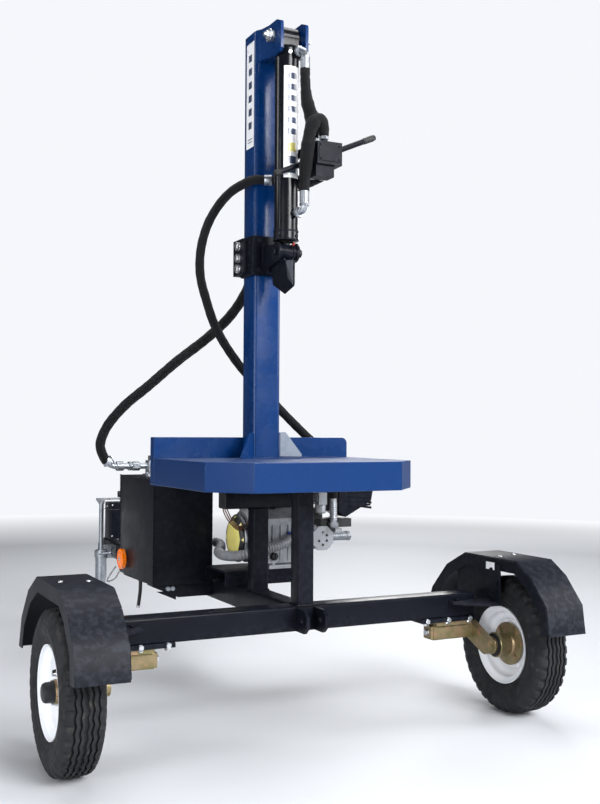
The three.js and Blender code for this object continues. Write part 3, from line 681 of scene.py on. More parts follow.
def ram_details():
    rings = Solid()
    for z, r in ((1404, 37.6), (1429, 37.4), (1972, 36.4)):
        rings.turn([(0, 35), (0, r), (0.8, r + 0.6), (4.2, r + 0.6), (5, r), (5, 35), (0, 35)], (0, RAM_Y, z), UP, 48)
    for k in range(4):
        a = TAU * k / 4 + 0.5
        rings.rod((37 * cos(a), RAM_Y + 37 * sin(a), 1416), (39 * cos(a), RAM_Y + 39 * sin(a), 1416), 4, 12)
    rings.weld(arc((0, RAM_Y), 36.5, 0, 360, 40, "xy", 1976.5), 2.6)
    for z in (1482, 1958):
        rings.weld([(12.6 * cos(a) + 0.3 * 36, RAM_Y - 0.954 * 36 + 2 * sin(a), z + 12.6 * sin(a))
                for a in (TAU * k / 20 for k in range(21))], 1.8)
    rings.object("ram_rings", BLACK)
    seal = Solid().turn([(0, 17.9), (0, 24), (2.5, 22), (4, 18.4), (0, 17.9)], (0, RAM_Y, 1399.9), UP, 40)
    seal.object("rod_wiper", RUBBER)
    Solid().bolt((-7, 72.2, 1957), (-0.2, -0.98, 0), 6, True).object("bleed_screw", STEEL)
    plating = Solid().ring(17.45, [(0, 17.7), (500, 17.7)], (0, RAM_Y, 1403), UP, 48)
    plating.object("rod_plating", CHROME, "carriage")
    crimp = Solid()
    for z, up in ((1958, -1), (1482, 1)):
        x, y = 0.3 * 78, RAM_Y - 0.954 * 78
        for k in range(7):
            a = z + up * (27 + 4.4 * k)
            crimp.ring(13, [(0, 14), (1.1, 14.5), (2.4, 14)], (x, y, a), (0, 0, up), 28)
        crimp.plug([(0, 14.5), (9, 14.5), (10, 13)], (x, y, z + up * 15), (0, 0, up), 6)
        crimp.ring(12, [(0, 16.5), (1.2, 17), (7.8, 17), (9, 16)],
            (0.3 * 49, RAM_Y - 0.954 * 49, z), (0.3, -0.954, 0), 6)
    crimp.object("port_fittings", ZINC, bevel=0.3)


def sleeve_hose(name, node, route, r, bulges=()):
    line = smooth_path(route, 4.0)

    def girth(s):
        size = r * (1 + 0.03 * sin(s * 0.2) + 0.02 * sin(s * 0.37 + 2))
        for centre, width, extra in bulges:
            size += extra * exp(-((s - centre) / width) ** 2)
        return size

    hose = Solid().sweep(line, girth, 28).object(name, SLEEVE, sharp=60)
    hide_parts(node)


def ram_hoses():
    sleeve_hose("ram_hose_upper", "hose_ram_upper",
        [(23.4, 33.6, 1899.5), (23.4, 33.6, 1888), (26, 34, 1840), (32, 36, 1805), (42, 38, 1778),
            (51, 36, 1750), (56, 40, 1725), (56, 40, 1702.5)], 14.5, ((105, 30, 4.5), (150, 22, 7.5)))
    sleeve_hose("ram_hose_lower", "hose_ram_lower",
        [(23.4, 33.6, 1540.5), (23.4, 33.6, 1552), (22, 26, 1600), (22, 14, 1650), (25, 6, 1700),
            (38, 3, 1736), (56, 3, 1746), (70, 6, 1728), (72, 6, 1702.5)], 14.5,
        ((70, 30, 4.5), (125, 34, 5.5), (195, 26, 6.5), (235, 16, 3.5)))


def valve_details():
    body = Solid()
    body.rod((104, 40, 1684.2), (104, 40, 1693), 11, 6, chamfer=1.5)
    body.rod((126, 12, 1650), (131, 12, 1650), 11, 28, chamfer=1.5)
    body.box(50, 122, -8.2, -5.8, 1626, 1676)
    for x, z in ((56, 1632), (116, 1632), (56, 1671), (116, 1671)):
        body.bolt((x, -8.2, z), FRONT, 5, domed=True)
    body.object("valve_caps", BLACK, bevel=0.8)
    bright = Solid()
    for x, y, r in ((56, 40, 12), (72, 6, 12)):
        bright.turn([(0, 9), (0, r + 2), (9, r + 2), (10, r), (10, 9), (0, 9)], (x, y, 1690.5), UP, 6)
    for x in (60, 94):
        bright.ring(9, [(0, 15), (10, 15), (11, 13.5)], (x, 54, 1598), BACK, 6)
    bright.ring(13.5, [(0, 15.5), (2, 16.4), (20, 16.4), (22, 15.2)], (-30, 198.5, 1602.3), (0.9, -0.43, 0), 28)
    bright.bolt((42, 60, 1667.5), LEFT, 7).bolt((42, 190, 1667.5), LEFT, 7)
    bright.object("valve_fittings", ZINC, bevel=0.3)
    grip = Solid()
    d = Vector((334, 0, 150)).normalized()
    end = Vector((272, 58, 1736))
    grip.turn([(0, 0), (0, 8.6), (2, 9.4), (34, 9.8), (40, 8.5), (43, 5), (43.5, 0)], end - d * 43, d, 28)
    start = Vector((-62, 58, 1586))
    grip.turn([(0, 0), (0, 9.0), (1.5, 9.6), (18, 9.4), (22, 7), (23, 0)], start + d * 22, -d, 24)
    grip.object("lever_grips", RUBBER, "lever")
    boss = Solid().bolt((86, 49, 1652.5), FRONT, 11, True)
    boss.plug([(0, 15.5), (10, 15.5), (12, 13.5)], (86, 54, 1652.5), BACK, 28)
    boss.object("lever_boss", BLACK, "lever", bevel=0.5)


def carriage_details():
    bright, dark = Solid(), Solid()
    for z in (1412, 1376, 1343):
        bright.bolt((-70.5, 297, z), LEFT, 13.5)
        bright.bolt((70.5, 297, z), RIGHT, 10.5, True, True)
        dark.bolt((-58.4, 243, z + 4), LEFT, 5.5, domed=True)
        dark.bolt((58.4, 243, z + 4), RIGHT, 5.5, domed=True)
    for x in (-46, 46):
        for z in (1400, 1350):
            bright.bolt((x, 343.2, z), BACK, 8, True, True)
    bright.object("carriage_bolts", STEEL, "carriage")
    dark.bolt((38, RAM_Y, PIN_Z), RIGHT, 13, True).bolt((-32, RAM_Y, PIN_Z), LEFT, 12, True)
    dark.bolt((-37, 218.8, 1421), FRONT, 8).bolt((37, 218.8, 1421), FRONT, 8)
    dark.bolt((-37, 218.8, 1331), FRONT, 8).bolt((37, 218.8, 1331), FRONT, 8)
    dark.ring(11, [(0, 27), (2, 29), (8, 29), (10, 27)], (-34.5, RAM_Y, PIN_Z), RIGHT, 36)
    dark.ring(11, [(0, 27), (2, 29), (8, 29), (10, 27)], (24.6, RAM_Y, PIN_Z), RIGHT, 36)
    for s in (-1, 1):
        dark.weld([(s * 24.8, 218, 1408), (s * 24.8, 218, 1326)], 2.8)
        dark.weld([(s * 14.4, 176, 1346.5), (s * 14.4, 84, 1346.5)], 2.8)
    dark.object("carriage_collars", BLACK, "carriage")
    Solid().rod((8, 78, 1388), (9, 70, 1392), 4.2, 16, chamfer=1).object("grease_cap", RED, "carriage")
    edge = Solid()
    edge.prism([(-14.2, 80, 1342), (-9.2, 75, 1290), (-3, 52, 1268), (-3.4, 53, 1340)], (0.5, 0, 0))
    edge.prism([(13.7, 80, 1342), (8.7, 75, 1290), (2.5, 52, 1268), (2.9, 53, 1340)], (0.5, 0, 0))
    edge.object("blade_ground_faces", GROUND, "carriage")


# ---- chassis
def chassis_details():
    beads = Solid()
    for s in (-1, 1):
        beads.weld([(s * 25.5, -34, 355), (s * 25.5, 14, 355)], 2.8)
        beads.weld([(s * 25.5, 270, 355), (s * 25.5, 320, 355)], 2.8)
        beads.weld([(s * 32.5, 36, 289), (s * 32.5, 36, 350)], 2.8)
        beads.weld([(s * 35, -36, 290), (s * 35, -36, 348)], 2.6)
        beads.weld([(s * 25.5, -34, 750), (s * 25.5, 14, 750)], 2.6)
        beads.weld([(s * 386, -37, 283.5), (s * 574, -37, 283.5)], 2.4)
        beads.weld([(s * 45, 269, 604), (s * 25.5, 269, 604)], 2.4)
    beads.weld([(-25, -36.5, 355), (25, -36.5, 355)], 2.8)
    beads.weld([(-25, 321, 355), (25, 321, 355)], 2.8)
    beads.object("chassis_welds", BLACK)
    ends = Solid()
    for s in (-1, 1):
        ends.box(min(s * 117, s * 119.5), max(s * 117, s * 119.5), 272, 328, 607, 663)
    ends.object("cross_member_plugs", PLASTIC, bevel=1.2)
    bolts = Solid()
    for s in (-1, 1):
        for x in (404, 479, 556):
            bolts.bolt((s * x, -30, 273), DOWN, 9)
    for y in (1660, 1692):
        bolts.bolt((-24, y, 358.2), UP, 6, True, True)
    bolts.object("chassis_bolts", STEEL)
    # cable along the drawbar with its clips
    cable = Solid()
    line = smooth_path([(-36.5, 560, 345), (-36.5, 800, 344), (-36.5, 1100, 346), (-36.5, 1400, 343),
            (-36.5, 1600, 348), (-42, 1640, 380), (-46, 1660, 400)], 12)
    cable.sweep(line, 3.4, 12)
    for y in (640, 980, 1240, 1500):
        cable.box(-41.5, -31.9, y - 6, y + 6, 339, 350)
    cable.object("drawbar_cable", RUBBER, bevel=0.6)


def table_details():
    beads = Solid()
    beads.weld([(-327, 325, 679), (327, 325, 679)], 2.6)
    beads.weld([(-300, 327.4, 761.5), (-124, 327.4, 761.5)], 2.8)
    beads.weld([(124, 327.4, 761.5), (300, 327.4, 761.5)], 2.8)
    beads.object("table_welds", BLUE)


def gusset_painted_highlight():
    """A pale steel-grey plate laid on the right gusset at the mast's foot: a painted highlight for the studio light
    reflected off that gusset.
    """
    plate = Solid()
    plate.prism([(45.6, 234.2, 766), (98.2, 192.6, 766), (98.2, 192.6, 773), (58.2, 224.2, 840), (45.6, 234.2, 840)],
        (-0.5, -0.62, 0))
    plate.object("gusset_highlight_plate", GUSSET_HIGHLIGHT, bevel=0.2)


# ---- oil tank
def tank_details():
    beads = Solid()
    x0, x1, y0, y1, z1 = -246, -42, 574, 952, 685
    beads.weld([(x0, y0, z1 - 1), (x1, y0, z1 - 1)], 2.2)
    beads.weld([(x0, y0, z1 - 1), (x0, y1, z1 - 1)], 2.2)
    for x, y in ((x0 + 1, y0 + 1), (x1 - 1, y0 + 1), (x0 + 1, y1 - 1)):
        beads.weld([(x, y, 345), (x, y, z1 - 3)], 2.0)
    beads.object("tank_welds", BLACK)
    lip = Solid().box(-70, -33.2, 608.5, 922, 318, 332)
    lip.bolt((-157, 599.8, 324), FRONT, 6)
    lip.prism([(-226, 599.6, 317), (-158, 599.6, 317), (-158, 599.6, 287)], (0, 4, 0))
    lip.object("tank_cradle_rail", BLACK, bevel=1)
    bright = Solid()
    for k in range(4):
        a = TAU * k / 4 + 0.4
        bright.bolt((-180 + 38 * cos(a), 760 + 38 * sin(a), 695.2), UP, 5.5)
    for x in (-186, -170):
        bright.bolt((x, 599.8, 325), FRONT, 8, True)
    for k in range(6):
        bright.ring(14.8, [(0, 15.8), (1.6, 16.2), (3, 15.8)], (-295 - 3.8 * k, 760, 722), LEFT, 28)
    bright.ring(9, [(0, 17), (9, 17), (10, 15)], (-266, 760, 722), LEFT, 6)
    bright.ring(8, [(0, 18.5), (3, 19), (22, 18), (26, 15.8)], (-341, 758.9, 727.5), (-0.42, -0.05, 0.9), 28)
    bright.object("tank_fittings", ZINC, bevel=0.3)
    cap = knurled(Solid().plug([(0, 24), (4, 26), (14, 26), (17, 23)], (-95, 860, 685.3), UP, 40), 18, 26,
        (-95, 860), (689, 699), 1.6)
    cap.object("tank_breather", PLASTIC)
    plug = Solid().bolt((-237.2, 757.6, 249), (-0.1, -0.05, -1), 7, True)
    plug.object("drain_plug", STEEL)


# ---- engine
ENGINE_Y = 455


def engine_details():
    y = ENGINE_Y
    shroud = Solid().ring(70, [(0, 75), (2, 77), (7, 77), (9, 75)], (-6, y, 497), RIGHT, 64)
    shroud.object("recoil_rim", ZINC)
    panel = Solid().turn([(0, 0), (0, 30), (1, 54), (3.5, 60), (9, 68), (12, 72), (12, 58), (3, 50), (2, 0)],
        (-21, y, 497), RIGHT, 8)
    panel.object("recoil_panel", YELLOW, bevel=0.8)
    grip = Solid().rod((-4, y - 96, 540), (-4, y - 118, 540), 5, 16, chamfer=1.5)
    grip.rod((-26, y - 116, 540), (18, y - 116, 540), 7, 20, chamfer=2.5)
    grip.object("recoil_handle", RUBBER)
    wires = Solid()
    for k in range(3):
        wires.sweep(smooth_path([(-30 - 4 * k, y + 40, 600), (-46 - 5 * k, y - 20, 590 - 6 * k),
                (-44 - 4 * k, y - 58, 560 - 4 * k), (-28, y - 70, 540 - 5 * k),
                (6, y - 72, 556 - 6 * k), (30, y - 68, 580)], 6), 2.1, 10)
    wires.object("engine_wires", WIRE)
    bolts = Solid()
    for a in range(6):
        t = TAU * a / 6 + 0.3
        bolts.bolt((72, y + 76 * cos(t), 505 + 76 * sin(t)), RIGHT, 5.5)
    for x in (96, 206):
        for yy in (394, 532):
            bolts.bolt((x, yy, 412.3), UP, 8)
    for yy, z in ((404, 560), (404, 432), (520, 432), (516, 560)):
        bolts.bolt((228.3, yy, z), RIGHT, 6.5)
    for yy in (436, 504):
        for z in (628, 690):
            bolts.bolt((262.3, yy, z), RIGHT, 5)
    bolts.object("engine_bolts", STEEL)
    ribs = Solid()
    for k in range(5):
        ribs.box(92 + 28 * k, 96 + 28 * k, 388.5, 392.5, 425, 540)
    for k in range(7):
        ribs.box(130, 258, 420, 520, 610 + 11 * k, 612 + 11 * k)
    ribs.box(110, 200, 388, 392.3, 470, 476)
    ribs.object("crankcase_ribs", CAST, bevel=0.7)
    plug = Solid()
    plug.turn([(0, 0), (0, 12), (8, 13), (14, 11), (15, 0)], (98, 392, 440), FRONT, 28)
    plug.block((98, 375, 440), (4, 6, 20))
    plug.object("oil_plug", PLASTIC, bevel=0.8)
    Solid().bolt((152, 391.8, 513), FRONT, 7).object("level_plug",
        make_plastic("blue_mark", "1f3e8a", "4f6cb0"), "frame")
    spark = Solid()
    spark.plug([(0, 10), (8, 10), (10, 7), (16, 7), (18, 9), (40, 9), (44, 6)], (190, 424, 722), (0.1, -0.9, 0.3), 24)
    spark.sweep(smooth_path([(193, 386, 736), (170, 372, 728), (120, 372, 690), (84, 392, 640), (70, 400, 610)],
            6), 3.6, 12)
    spark.object("spark_lead", RUBBER)
    carb = Solid()
    carb.box(266, 296, 400, 440, 600, 640)
    carb.plug([(0, 17), (3, 19), (26, 19), (29, 16)], (281, 420, 600), DOWN, 32)
    carb.bolt((281, 420, 571), DOWN, 6)
    carb.rod((262, 420, 620), (300, 420, 620), 12, 24, chamfer=1.5)
    carb.object("carburettor", CAST, bevel=1.5)
    cap = knurled(Solid().plug([(0, 29), (3, 31), (15, 31), (19, 27)], (96, y + 20, 822), UP, 40), 14, 31,
        (96, y + 20), (825, 837), 2.2)
    cap.object("fuel_cap", PLASTIC)
    guard = Solid()
    for k in range(7):
        guard.box(476.2, 478.4, 420, 500, 580 + 17 * k, 588 + 17 * k)
    for k in range(7):
        guard.box(380, 466, 405.4, 407.9, 592 + 15 * k, 599 + 15 * k)
    guard.ring(9, [(0, 14), (24, 14)], (470, 460, 668), RIGHT, 28)
    guard.object("silencer_louvres", BLACK, bevel=0.6)


def pump_details():
    dark, bright = Solid(), Solid()
    for x, z in ((277, 514), (291, 504.5), (291, 487), (277, 474), (263, 487)):
        dark.rod((x - 21, 351.9, z), (x - 21, 350.4, z), 4.4, 16, chamfer=0.4)
    for z in (480, 511):
        bright.bolt((256, 351.9, z), FRONT, 4.5, domed=True)
    for yy, z in ((399, 464), (461, 464), (399, 514), (461, 514)):
        bright.bolt((300.4, yy, z), RIGHT, 7)
    for k in range(8):
        bright.ring(11.5, [(0, 14), (2, 14.8), (4, 14)], (300 + 6.4 * k, 372, 498), RIGHT, 28)
    for k in range(10):
        bright.ring(10, [(0, 12.6), (1.8, 13.2), (3.6, 12.6)], (322, 404, 548 + 6 * k), (0, 0, 1), 28)
    bright.ring(9, [(0, 17), (12, 17), (13, 15)], (322, 404, 527), UP, 6)
    bright.ring(9, [(0, 17), (10, 17), (11, 15)], (352, 372, 498), RIGHT, 6)
    bright.plug([(0, 14), (20, 14), (22, 12)], (207, 371, 505), RIGHT, 28)
    bright.object("pump_fittings", ZINC, bevel=0.3)
    dark.object("pump_ports", RUBBER)


def suction_hose():
    route = [(-39, 625, 470), (-22, 625, 470), (-4, 606, 464), (-12, 572, 454), (-36, 534, 446), (-45, 480, 442),
        (-45, 420, 445), (-36, 372, 450), (-6, 349, 458), (50, 346, 470), (108, 348, 483), (150, 362, 497),
        (182, 371, 505), (203.2, 371, 505)]
    line = smooth_path(route, 1.5)
    hose = Solid().sweep(line, lambda s: 15.4 + 1.0 * sin(s * TAU / 9.0), 24)
    made = hose.object("suction_hose", SUCTION, sharp=80)
    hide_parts("hose_suction")
    clips = Solid()
    for i in (5, len(line) - 14):
        d = (line[i + 1] - line[i - 1]).normalized()
        clips.ring(15, [(0, 18), (9, 18)], line[i], d, 40)
        clips.plug([(0, 4), (14, 4)], line[i] + Vector((0, -4, 19)), BACK, 12)
    clips.object("hose_clips", STEEL)


# ---- wheels
WHEEL = (682.5, -82, 201)


def tread(side, s):
    """A cross-ply trailer tyre: zigzag centre ribs, notched shoulders and lines on the walls."""
    cx, cy, cz = WHEEL
    section = [(-39, 117), (-44, 119), (-48, 126), (-50, 133), (-49.6, 135), (-53, 144), (-54.6, 156), (-54.8, 165),
        (-53.8, 166), (-54.2, 172), (-52, 180), (-49, 187), (-46, 194), (-42, 199.5), (-37, 201.6),
        (-31, 202.6), (-30, 196.5), (-26, 196.5), (-25, 203), (-17, 203.4), (-16, 197), (-12, 197),
        (-11, 203.7), (-5, 203.9), (-3.2, 198), (3.2, 198)]
    mirror = [(-a, r) for a, r in reversed(section[:-2])]
    profile = section + mirror
    inner = [(39, 117), (31, 112), (30, 130), (38, 160), (30, 186), (0, 191), (-30, 186), (-38, 160), (-30, 130),
        (-31, 112)]
    ring = profile + inner[1:]
    sides = 288
    pts, faces = [], []
    n = len(ring)
    for k in range(sides):
        a = TAU * k / sides
        phase = k % 8
        zig = 2.1 * (1 - abs(phase - 4) / 2)
        notch = phase in (0, 1, 2)
        for i, (x, r) in enumerate(ring):
            if i < len(profile) and abs(x) < 31.5 and r > 190:
                x += zig
            if i < len(profile) and abs(x) > 36 and r > 190 and notch:
                r -= 5.2
            if i < len(profile) and 182 > r > 168 and notch:
                x *= 0.985
            pts.append((s * (cx + x), cy + r * cos(a), cz + r * sin(a)))
    for k in range(sides):
        m = (k + 1) % sides
        for i in range(n):
            j = (i + 1) % n
            faces.append((k * n + i, k * n + j, m * n + j, m * n + i))
    tyre = Solid().add(pts, faces).object(f"tyre_{side}_treaded", TYRE, f"wheel_{side}", sharp=32)
    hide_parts(f"tyre_{side}")


def rim(side, s):
    cx, cy, cz = WHEEL
    profile = [(-46, 116), (-46.6, 114.6), (-45.5, 112.8), (-42, 111.6), (-39, RAM_Y), (-34, 98), (-30, 95.8),
        (-22, 95), (-17, 91), (-14, 84.5), (-10, 77), (-4.5, 73.6), (-3.6, 72), (-3.6, 52), (-2.2, 50),
        (-2.2, 33), (1.8, 33), (1.8, 50), (0.4, 52), (0.4, 73), (1.4, 78), (4, 81), (10, 83), (20, 84.4),
        (26, 88), (30, 97), (34, 107), (38, 110.8), (42, 112), (45.4, 112.8), (46.6, 114.6), (46, 116),
        (41, 116), (38, 113.4), (33, 101.6), (26, 99.6), (20, 98.6), (14, 88.4), (-10, 88.4), (-16, 98.6),
        (-28, 100.4), (-33, 101.6), (-38, 113.4), (-41, 116), (-46, 116)]
    disc = Solid().turn(profile, (s * cx, cy, cz), (s, 0, 0), 112)
    for k in range(4):
        a = TAU * (k + 0.5) / 4 + 0.3
        disc.plug([(0, 7.5), (-2.2, 6.6), (-2.6, 4)],
            (s * (cx - 3.4), cy + 64 * cos(a), cz + 64 * sin(a)), (s, 0, 0), 20)
    made = disc.object(f"rim_{side}_dished", WHITE, f"wheel_{side}", sharp=34)
    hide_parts(f"rim_{side}")
    stem = Solid()
    a = 2.2
    p = Vector((s * (cx + 16), cy + 84 * cos(a), cz + 84 * sin(a)))
    d = Vector((s * 0.9, -0.35 * cos(a), -0.35 * sin(a))).normalized()
    stem.plug([(0, 6), (6, 5.4), (20, 3.4), (21, 4.4), (30, 4.4), (31, 3)], p, d, 20)
    stem.object(f"valve_stem_{side}", RUBBER, f"wheel_{side}")


def hub(side, s):
    cx, cy, cz = WHEEL
    wheel = f"wheel_{side}"
    body = Solid()
    profile = [(614, 15.4), (614, 36), (615.5, 37.5), (623, 37.5), (625, 36), (626, 33), (640, 31.5), (658, 33),
        (662, 38), (663.4, 60), (664.6, 64), (672, 64), (673.4, 62.6), (673.8, 46), (676, 34), (680, 31.6),
        (712, 30.4), (714.5, 29), (714.8, 27), (706, 15.4), (614, 15.4)]
    body.turn([(a - 614, r) for a, r in profile], (s * 614, cy, cz), (s, 0, 0), 72)
    for x, y, z in ring_of(4, 50.8, (s * 664, cy, cz), 0.78):
        body.plug([(0, 11), (-3, 10.6), (-3.6, 8.5)], (x, y, z), (s, 0, 0), 24)
    made = body.object(f"hub_{side}_turned", GOLD, wheel, sharp=32)
    cap = Solid().turn([(0, 0), (0, 27), (2, 28.4), (5, 28.4), (6, 26), (20, 25.4), (26, 23), (29, 17), (29.6, 0)],
        (s * 714, cy, cz), (s, 0, 0), 48)
    cap.object(f"dust_cap_{side}", PLASTIC, wheel)
    seal = Solid().ring(16, [(0, 34), (-2.6, 33), (-4, 26)], (s * 614, cy, cz), (s, 0, 0), 48)
    seal.object(f"hub_seal_{side}", RUBBER, wheel)
    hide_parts(f"hub_{side}")
    studs = Solid()
    for x, y, z in ring_of(4, 50.8, (s * 684.6, cy, cz), 0.78):
        studs.plug([(0, 11), (6, 9.4), (6, 9.4), (16, 9.2), (17.5, 7.4)], (x, y, z), (s, 0, 0), 6)
        studs.turn([(17, 0), (17, 6)] + [(18 + 0.8 * k, 6 if k % 2 else 5.5) for k in range(10)] + [(27, 0)],
            (x, y, z), (s, 0, 0), 20)
    studs.object(f"wheel_nuts_{side}", STEEL, wheel)


def guard_details(side, s):
    bolts, label, ribs = Solid(), Solid(), Solid()
    for x, y in ((698, -71), (632, -88)):
        bolts.bolt((s * x, y, 467.2), UP, 7, domed=True)
    plate = Solid()
    for y, z in ((-96, 430), (-96, 352), (-118, 392)):
        plate.bolt((s * 594.8, y, z), (-s, 0, 0), 7)
    plate.bolt((s * 520, -66, 326.8), DOWN, 7).bolt((s * 505, -46, 335.2), UP, 7)
    plate.prism([(s * 605, -84, 340), (s * 605, -84, 452), (s * 605, 34, 452), (s * 605, 96, 420),
            (s * 605, 96, 326)],
        (s * 3, 0, 0))
    plate.object(f"mudguard_panel_{side}", BLACK, bevel=0.8)
    bolts.object(f"mudguard_bolts_{side}", STEEL)
    edge = [(-349, 276), (-337, 351), (-268.5, 425.5), (-204, 464.3), (47.5, 464.3), (148, 416), (229, 334),
        (258, 253)]
    for (y0, z0), (y1, z1) in zip(edge, edge[1:]):
        d = Vector((0, y1 - y0, z1 - z0))
        ribs.weld([(s * 599.6, y0 + d.y * 0.02, z0 + d.z * 0.02),
                (s * 599.6, y0 + d.y * 0.98, z0 + d.z * 0.98)], 1.1, 6)
    ribs.object(f"mudguard_seam_{side}", GUARD)
    if s > 0:
        label.box(593.9, 594.5, -110, -69, 430, 452)
        label.object("mudguard_label", LABEL, bevel=0.15)


def suspension_details(side, s):
    beads, bolts = Solid(), Solid()
    for y in (-23, 23):
        beads.weld([(s * 442, y, 262), (s * 566, y, 262)], 2.2)
    beads.object(f"suspension_weld_{side}", GOLD)
    for x in (404, 479, 556):
        bolts.bolt((s * x, -37, 279), FRONT, 8)
    bolts.bolt((s * 427.8, 0, 240), (-s, 0, 0), 10)
    bolts.object(f"suspension_bolts_{side}", STEEL)
    Solid().box(min(s * 434, s * 437), max(s * 434, s * 437), -19, 19, 221, 258) \
        .object(f"rubber_end_{side}", RUBBER, bevel=1)
    arm = Solid()
    arm.ring(12, [(0, 22), (3, 23), (5, 21)], (s * 600, 0, 240), (s, 0, 0), 36)
    arm.weld([(s * 601, WHEEL[1] + 25 * cos(t), WHEEL[2] + 25 * sin(t)) for t in (TAU * k / 16 for k in range(17))],
        2.4)
    arm.object(f"arm_weld_{side}", GOLD, f"arm_{side}")


def running_gear():
    for side, s in (("left", -1), ("right", 1)):
        tread(side, s)
        rim(side, s)
        hub(side, s)
        guard_details(side, s)
        suspension_details(side, s)


# ---- towing end
def jockey_details():
    x, y = -92, 1752
    tyre = Solid()
    profile = [(-25, 14), (-25, 44), (-24, 48), (-24, 56), (-22.5, 66), (-18, 72.5), (-11, 74.8), (-10, 73), (-7, 73),
        (-6, 75), (6, 75), (7, 73), (10, 73), (11, 74.8), (18, 72.5), (22.5, 66), (24, 56), (24, 48), (25, 44),
        (25, 14), (-25, 14)]
    tyre.turn(profile, (x, y, 72), RIGHT, 72)
    made = tyre.object("jockey_tyre", RUBBER, "jockey_wheel", "hose_rubber", sharp=35)
    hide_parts("jockey_wheel")
    disc = Solid()
    for s in (-1, 1):
        disc.turn([(0, 6.4), (0, 45), (1.6, 45), (2.4, 40), (-2, 34), (-2, 20), (3, 16), (3.4, 6.4), (0, 6.4)],
            (x + s * 25.1, y, 72), (s, 0, 0), 48)
    disc.object("jockey_disc", ZINC, "jockey_wheel")
    nuts = Solid()
    for s in (-1, 1):
        nuts.bolt((x + s * 34.2, y, 72), (s, 0, 0), 8, True, True)
    nuts.object("jockey_nuts", STEEL, "jockey_fork")
    clamp = Solid()
    clamp.ring(24.2, [(0, 28), (26, 28)], (x, y, 296), UP, 48)
    clamp.rod((x - 4, y - 30, 319), (x - 4, y - 62, 319), 6, 20, chamfer=1)
    clamp.rod((x - 34, y - 60, 319), (x + 26, y - 60, 319), 5, 20, chamfer=1.5)
    clamp.bolt((x - 4, y - 28, 319), FRONT, 9)
    clamp.ring(21, [(0, 25.6), (4, 26), (9, 24.6)], (x, y, 318), UP, 40)
    clamp.object("jockey_clamp", ZINC, bevel=0.4)
    grip = Solid().turn([(0, 0), (0, 12), (2, 13.4), (20, 14), (26, 12.4), (27, 0)], (x + 84, y, 552), UP, 32)
    grip.object("crank_grip", PLASTIC, "jockey_crank")


def hitch_details():
    bolts = Solid()
    for y in (1862, 1918):
        for s in (-1, 1):
            bolts.bolt((s * 30.4, y, 320), (s, 0, 0), 10, True, s > 0)
    bolts.object("hitch_bolts", STEEL)
    beads = Solid().weld(arc((0, 1975), 44.5, 200, 340, 20, "xy", 300), 2.4)
    beads.object("hitch_welds", BLACK)
    grip = Solid().rod((-16, 1866, 411), (16, 1866, 411), 8, 24, chamfer=2)
    grip.plug([(0, 5), (28, 5), (29, 3.5)], (-14.5, 1950, 368), RIGHT, 16)
    grip.object("latch_handle", ZINC, "latch")


def tool_box_details():
    trim = Solid()
    trim.box(-89.2, 53.2, 1630.8, 1717.2, 506, 509)
    trim.box(-12, 12, 1629.4, 1632.6, 494, 520)
    trim.object("tool_box_seam", PLASTIC, bevel=0.8)
    screws = Solid()
    for x in (-78, 42):
        for z in (396, 526):
            screws.bolt((x, 1632.2, z), FRONT, 4, domed=True)
    screws.bolt((-88.2, 1676, 520), LEFT, 5, domed=True)
    screws.object("tool_box_screws", STEEL)


def reflector_details():
    x, y, z = -261, 886, 394
    lens = Solid().turn([(0, 0), (0, 29), (1.6, 30), (3.4, 27), (5, 19), (5.6, 0)], (x, y, z), LEFT, 56)
    lens.object("reflector_lens", GLOWING_ORANGE)
    ring = Solid().ring(29, [(0, 35.4), (3, 35.4), (4.6, 33)], (x, y, z), LEFT, 56)
    ring.object("reflector_ring", GLOWING_ORANGE)
    Solid().bolt((x - 5.4, y, z), LEFT, 7, domed=True) \
        .object("reflector_bolt", STEEL)
    loop = Solid()
    line = smooth_path([(-268, 884, 350), (-286, 868, 330), (-300, 900, 316), (-292, 940, 318), (-270, 962, 340),
            (-258, 950, 362)], 5)
    loop.sweep(line, 2.6, 12)
    loop.object("reflector_wire", ZINC)
    dress(GLOWING_ORANGE, "side_reflector", 0.8)


def drain_pipe():
    pipe = Solid().sweep(smooth_path([(-228, 762, 340), (-228, 762, 326), (-229, 761, 300), (-236, 758, 250)],
            4), 6, 20)
    pipe.plug([(0, 9), (7, 9), (8, 8)], (-228, 762, 340.6), DOWN, 6)
    pipe.object("drain_pipe", RUBBER)


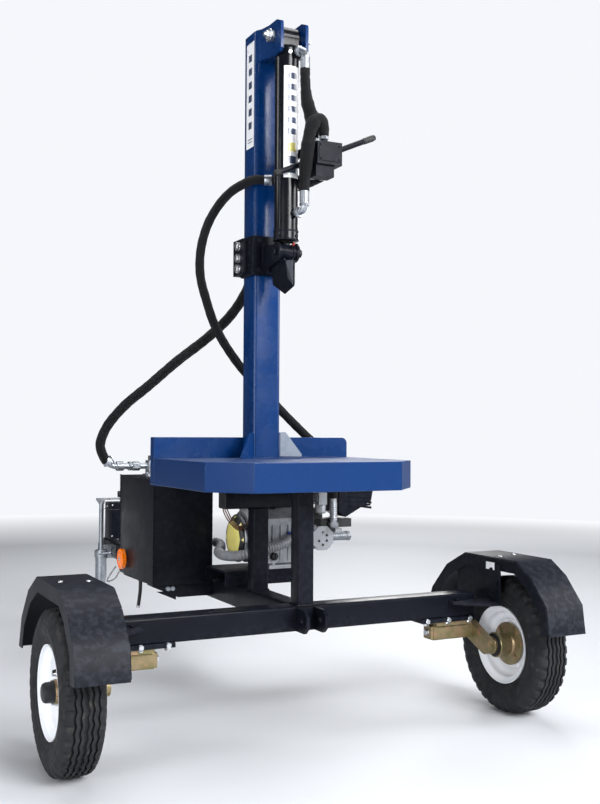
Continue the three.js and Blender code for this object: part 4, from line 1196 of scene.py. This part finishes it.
# ---- stage and light
def stage():
    mesh = bpy.data.meshes.new("floor")
    n = 96
    pts = [(FLOOR_RADIUS * cos(TAU * k / n), FLOOR_RADIUS * sin(TAU * k / n), 0) for k in range(n)]
    mesh.from_pydata(pts, [], [tuple(range(n))])
    floor = bpy.data.objects.new("floor", mesh)
    mesh.materials.append(make_floor())
    bpy.context.scene.collection.objects.link(floor)
    world = bpy.data.worlds.new("studio")
    world.use_nodes = True
    tree = world.node_tree

    def node(kind, inputs, out=0, **props):
        return add_node(tree, kind, inputs, **props).outputs[out]

    # a room that is bright low down in front and to the right, and dark behind on the left
    way = node("ShaderNodeTexCoord", {}, "Generated")
    aside = node("ShaderNodeVectorMath", {0: way, 1: (0.5, -0.87, 0.0)}, "Value", operation="DOT_PRODUCT")
    side = node("ShaderNodeMapRange", {0: aside, 1: -0.6, 2: 0.6, 3: 0.08, 4: 1.0})
    up = node("ShaderNodeSeparateXYZ", {0: way}, 2)
    low = node("ShaderNodeMapRange", {0: up, 1: 0.06, 2: 0.34, 3: 1.0, 4: 0.16})
    room = node("ShaderNodeMath", {0: side, 1: low}, operation="MULTIPLY")
    room = node("ShaderNodeMath", {0: room, 1: 0.55, 2: 0.05}, operation="MULTIPLY_ADD")
    seen = node("ShaderNodeLightPath", {}, "Is Camera Ray")
    level = node("ShaderNodeMix", {0: seen, 2: room, 3: 0.97})
    tree.nodes["Background"].inputs[0].default_value = (0.94, 0.96, 1.0, 1)
    tree.links.new(level, tree.nodes["Background"].inputs[1])
    bpy.context.scene.world = world
    bpy.context.scene.view_settings.view_transform = "Standard"


def light(name, place, target, size, power, color=(1, 1, 1)):
    data = bpy.data.lights.new(name, "AREA")
    data.shape = "RECTANGLE"
    data.size, data.size_y = size
    data.energy = power
    data.color = color
    lamp = bpy.data.objects.new(name, data)
    lamp.location = place
    lamp.rotation_mode = "QUATERNION"
    lamp.rotation_quaternion = (Vector(target) - Vector(place)).to_track_quat("-Z", "Y")
    bpy.context.scene.collection.objects.link(lamp)


def lights():
    light("key", (1.0, -5.4, 3.2), (0, -0.6, 0.8), (2.2, 2.2), 400)
    light("strip_left", (-3.0, -0.72, 1.35), (0, -0.72, 1.3), (0.1, 2.4), 16)
    light("left", (-3.8, -3.4, 1.3), (0.2, -0.5, 0.6), (1.6, 1.6), 100)
    light("fill_right", (4.0, -2.6, 2.4), (0, -0.5, 0.7), (1.8, 2.4), 140)
    light("top", (0.2, 0.0, 4.8), (0, -0.2, 0), (3.2, 3.2), 150)
    light("back_left", (-4.2, 1.6, 3.4), (0, 0.3, 0.5), (1.2, 1.6), 50)
    light("back_right", (3.0, 3.6, 2.6), (0, 0.2, 0.7), (1.4, 2.0), 85)


decals()
mast_details()
ram_details()
ram_hoses()
valve_details()
carriage_details()
chassis_details()
table_details()
gusset_painted_highlight()
tank_details()
drain_pipe()
engine_details()
pump_details()
suction_hose()
running_gear()
jockey_details()
hitch_details()
tool_box_details()
reflector_details()
stage()
lights()
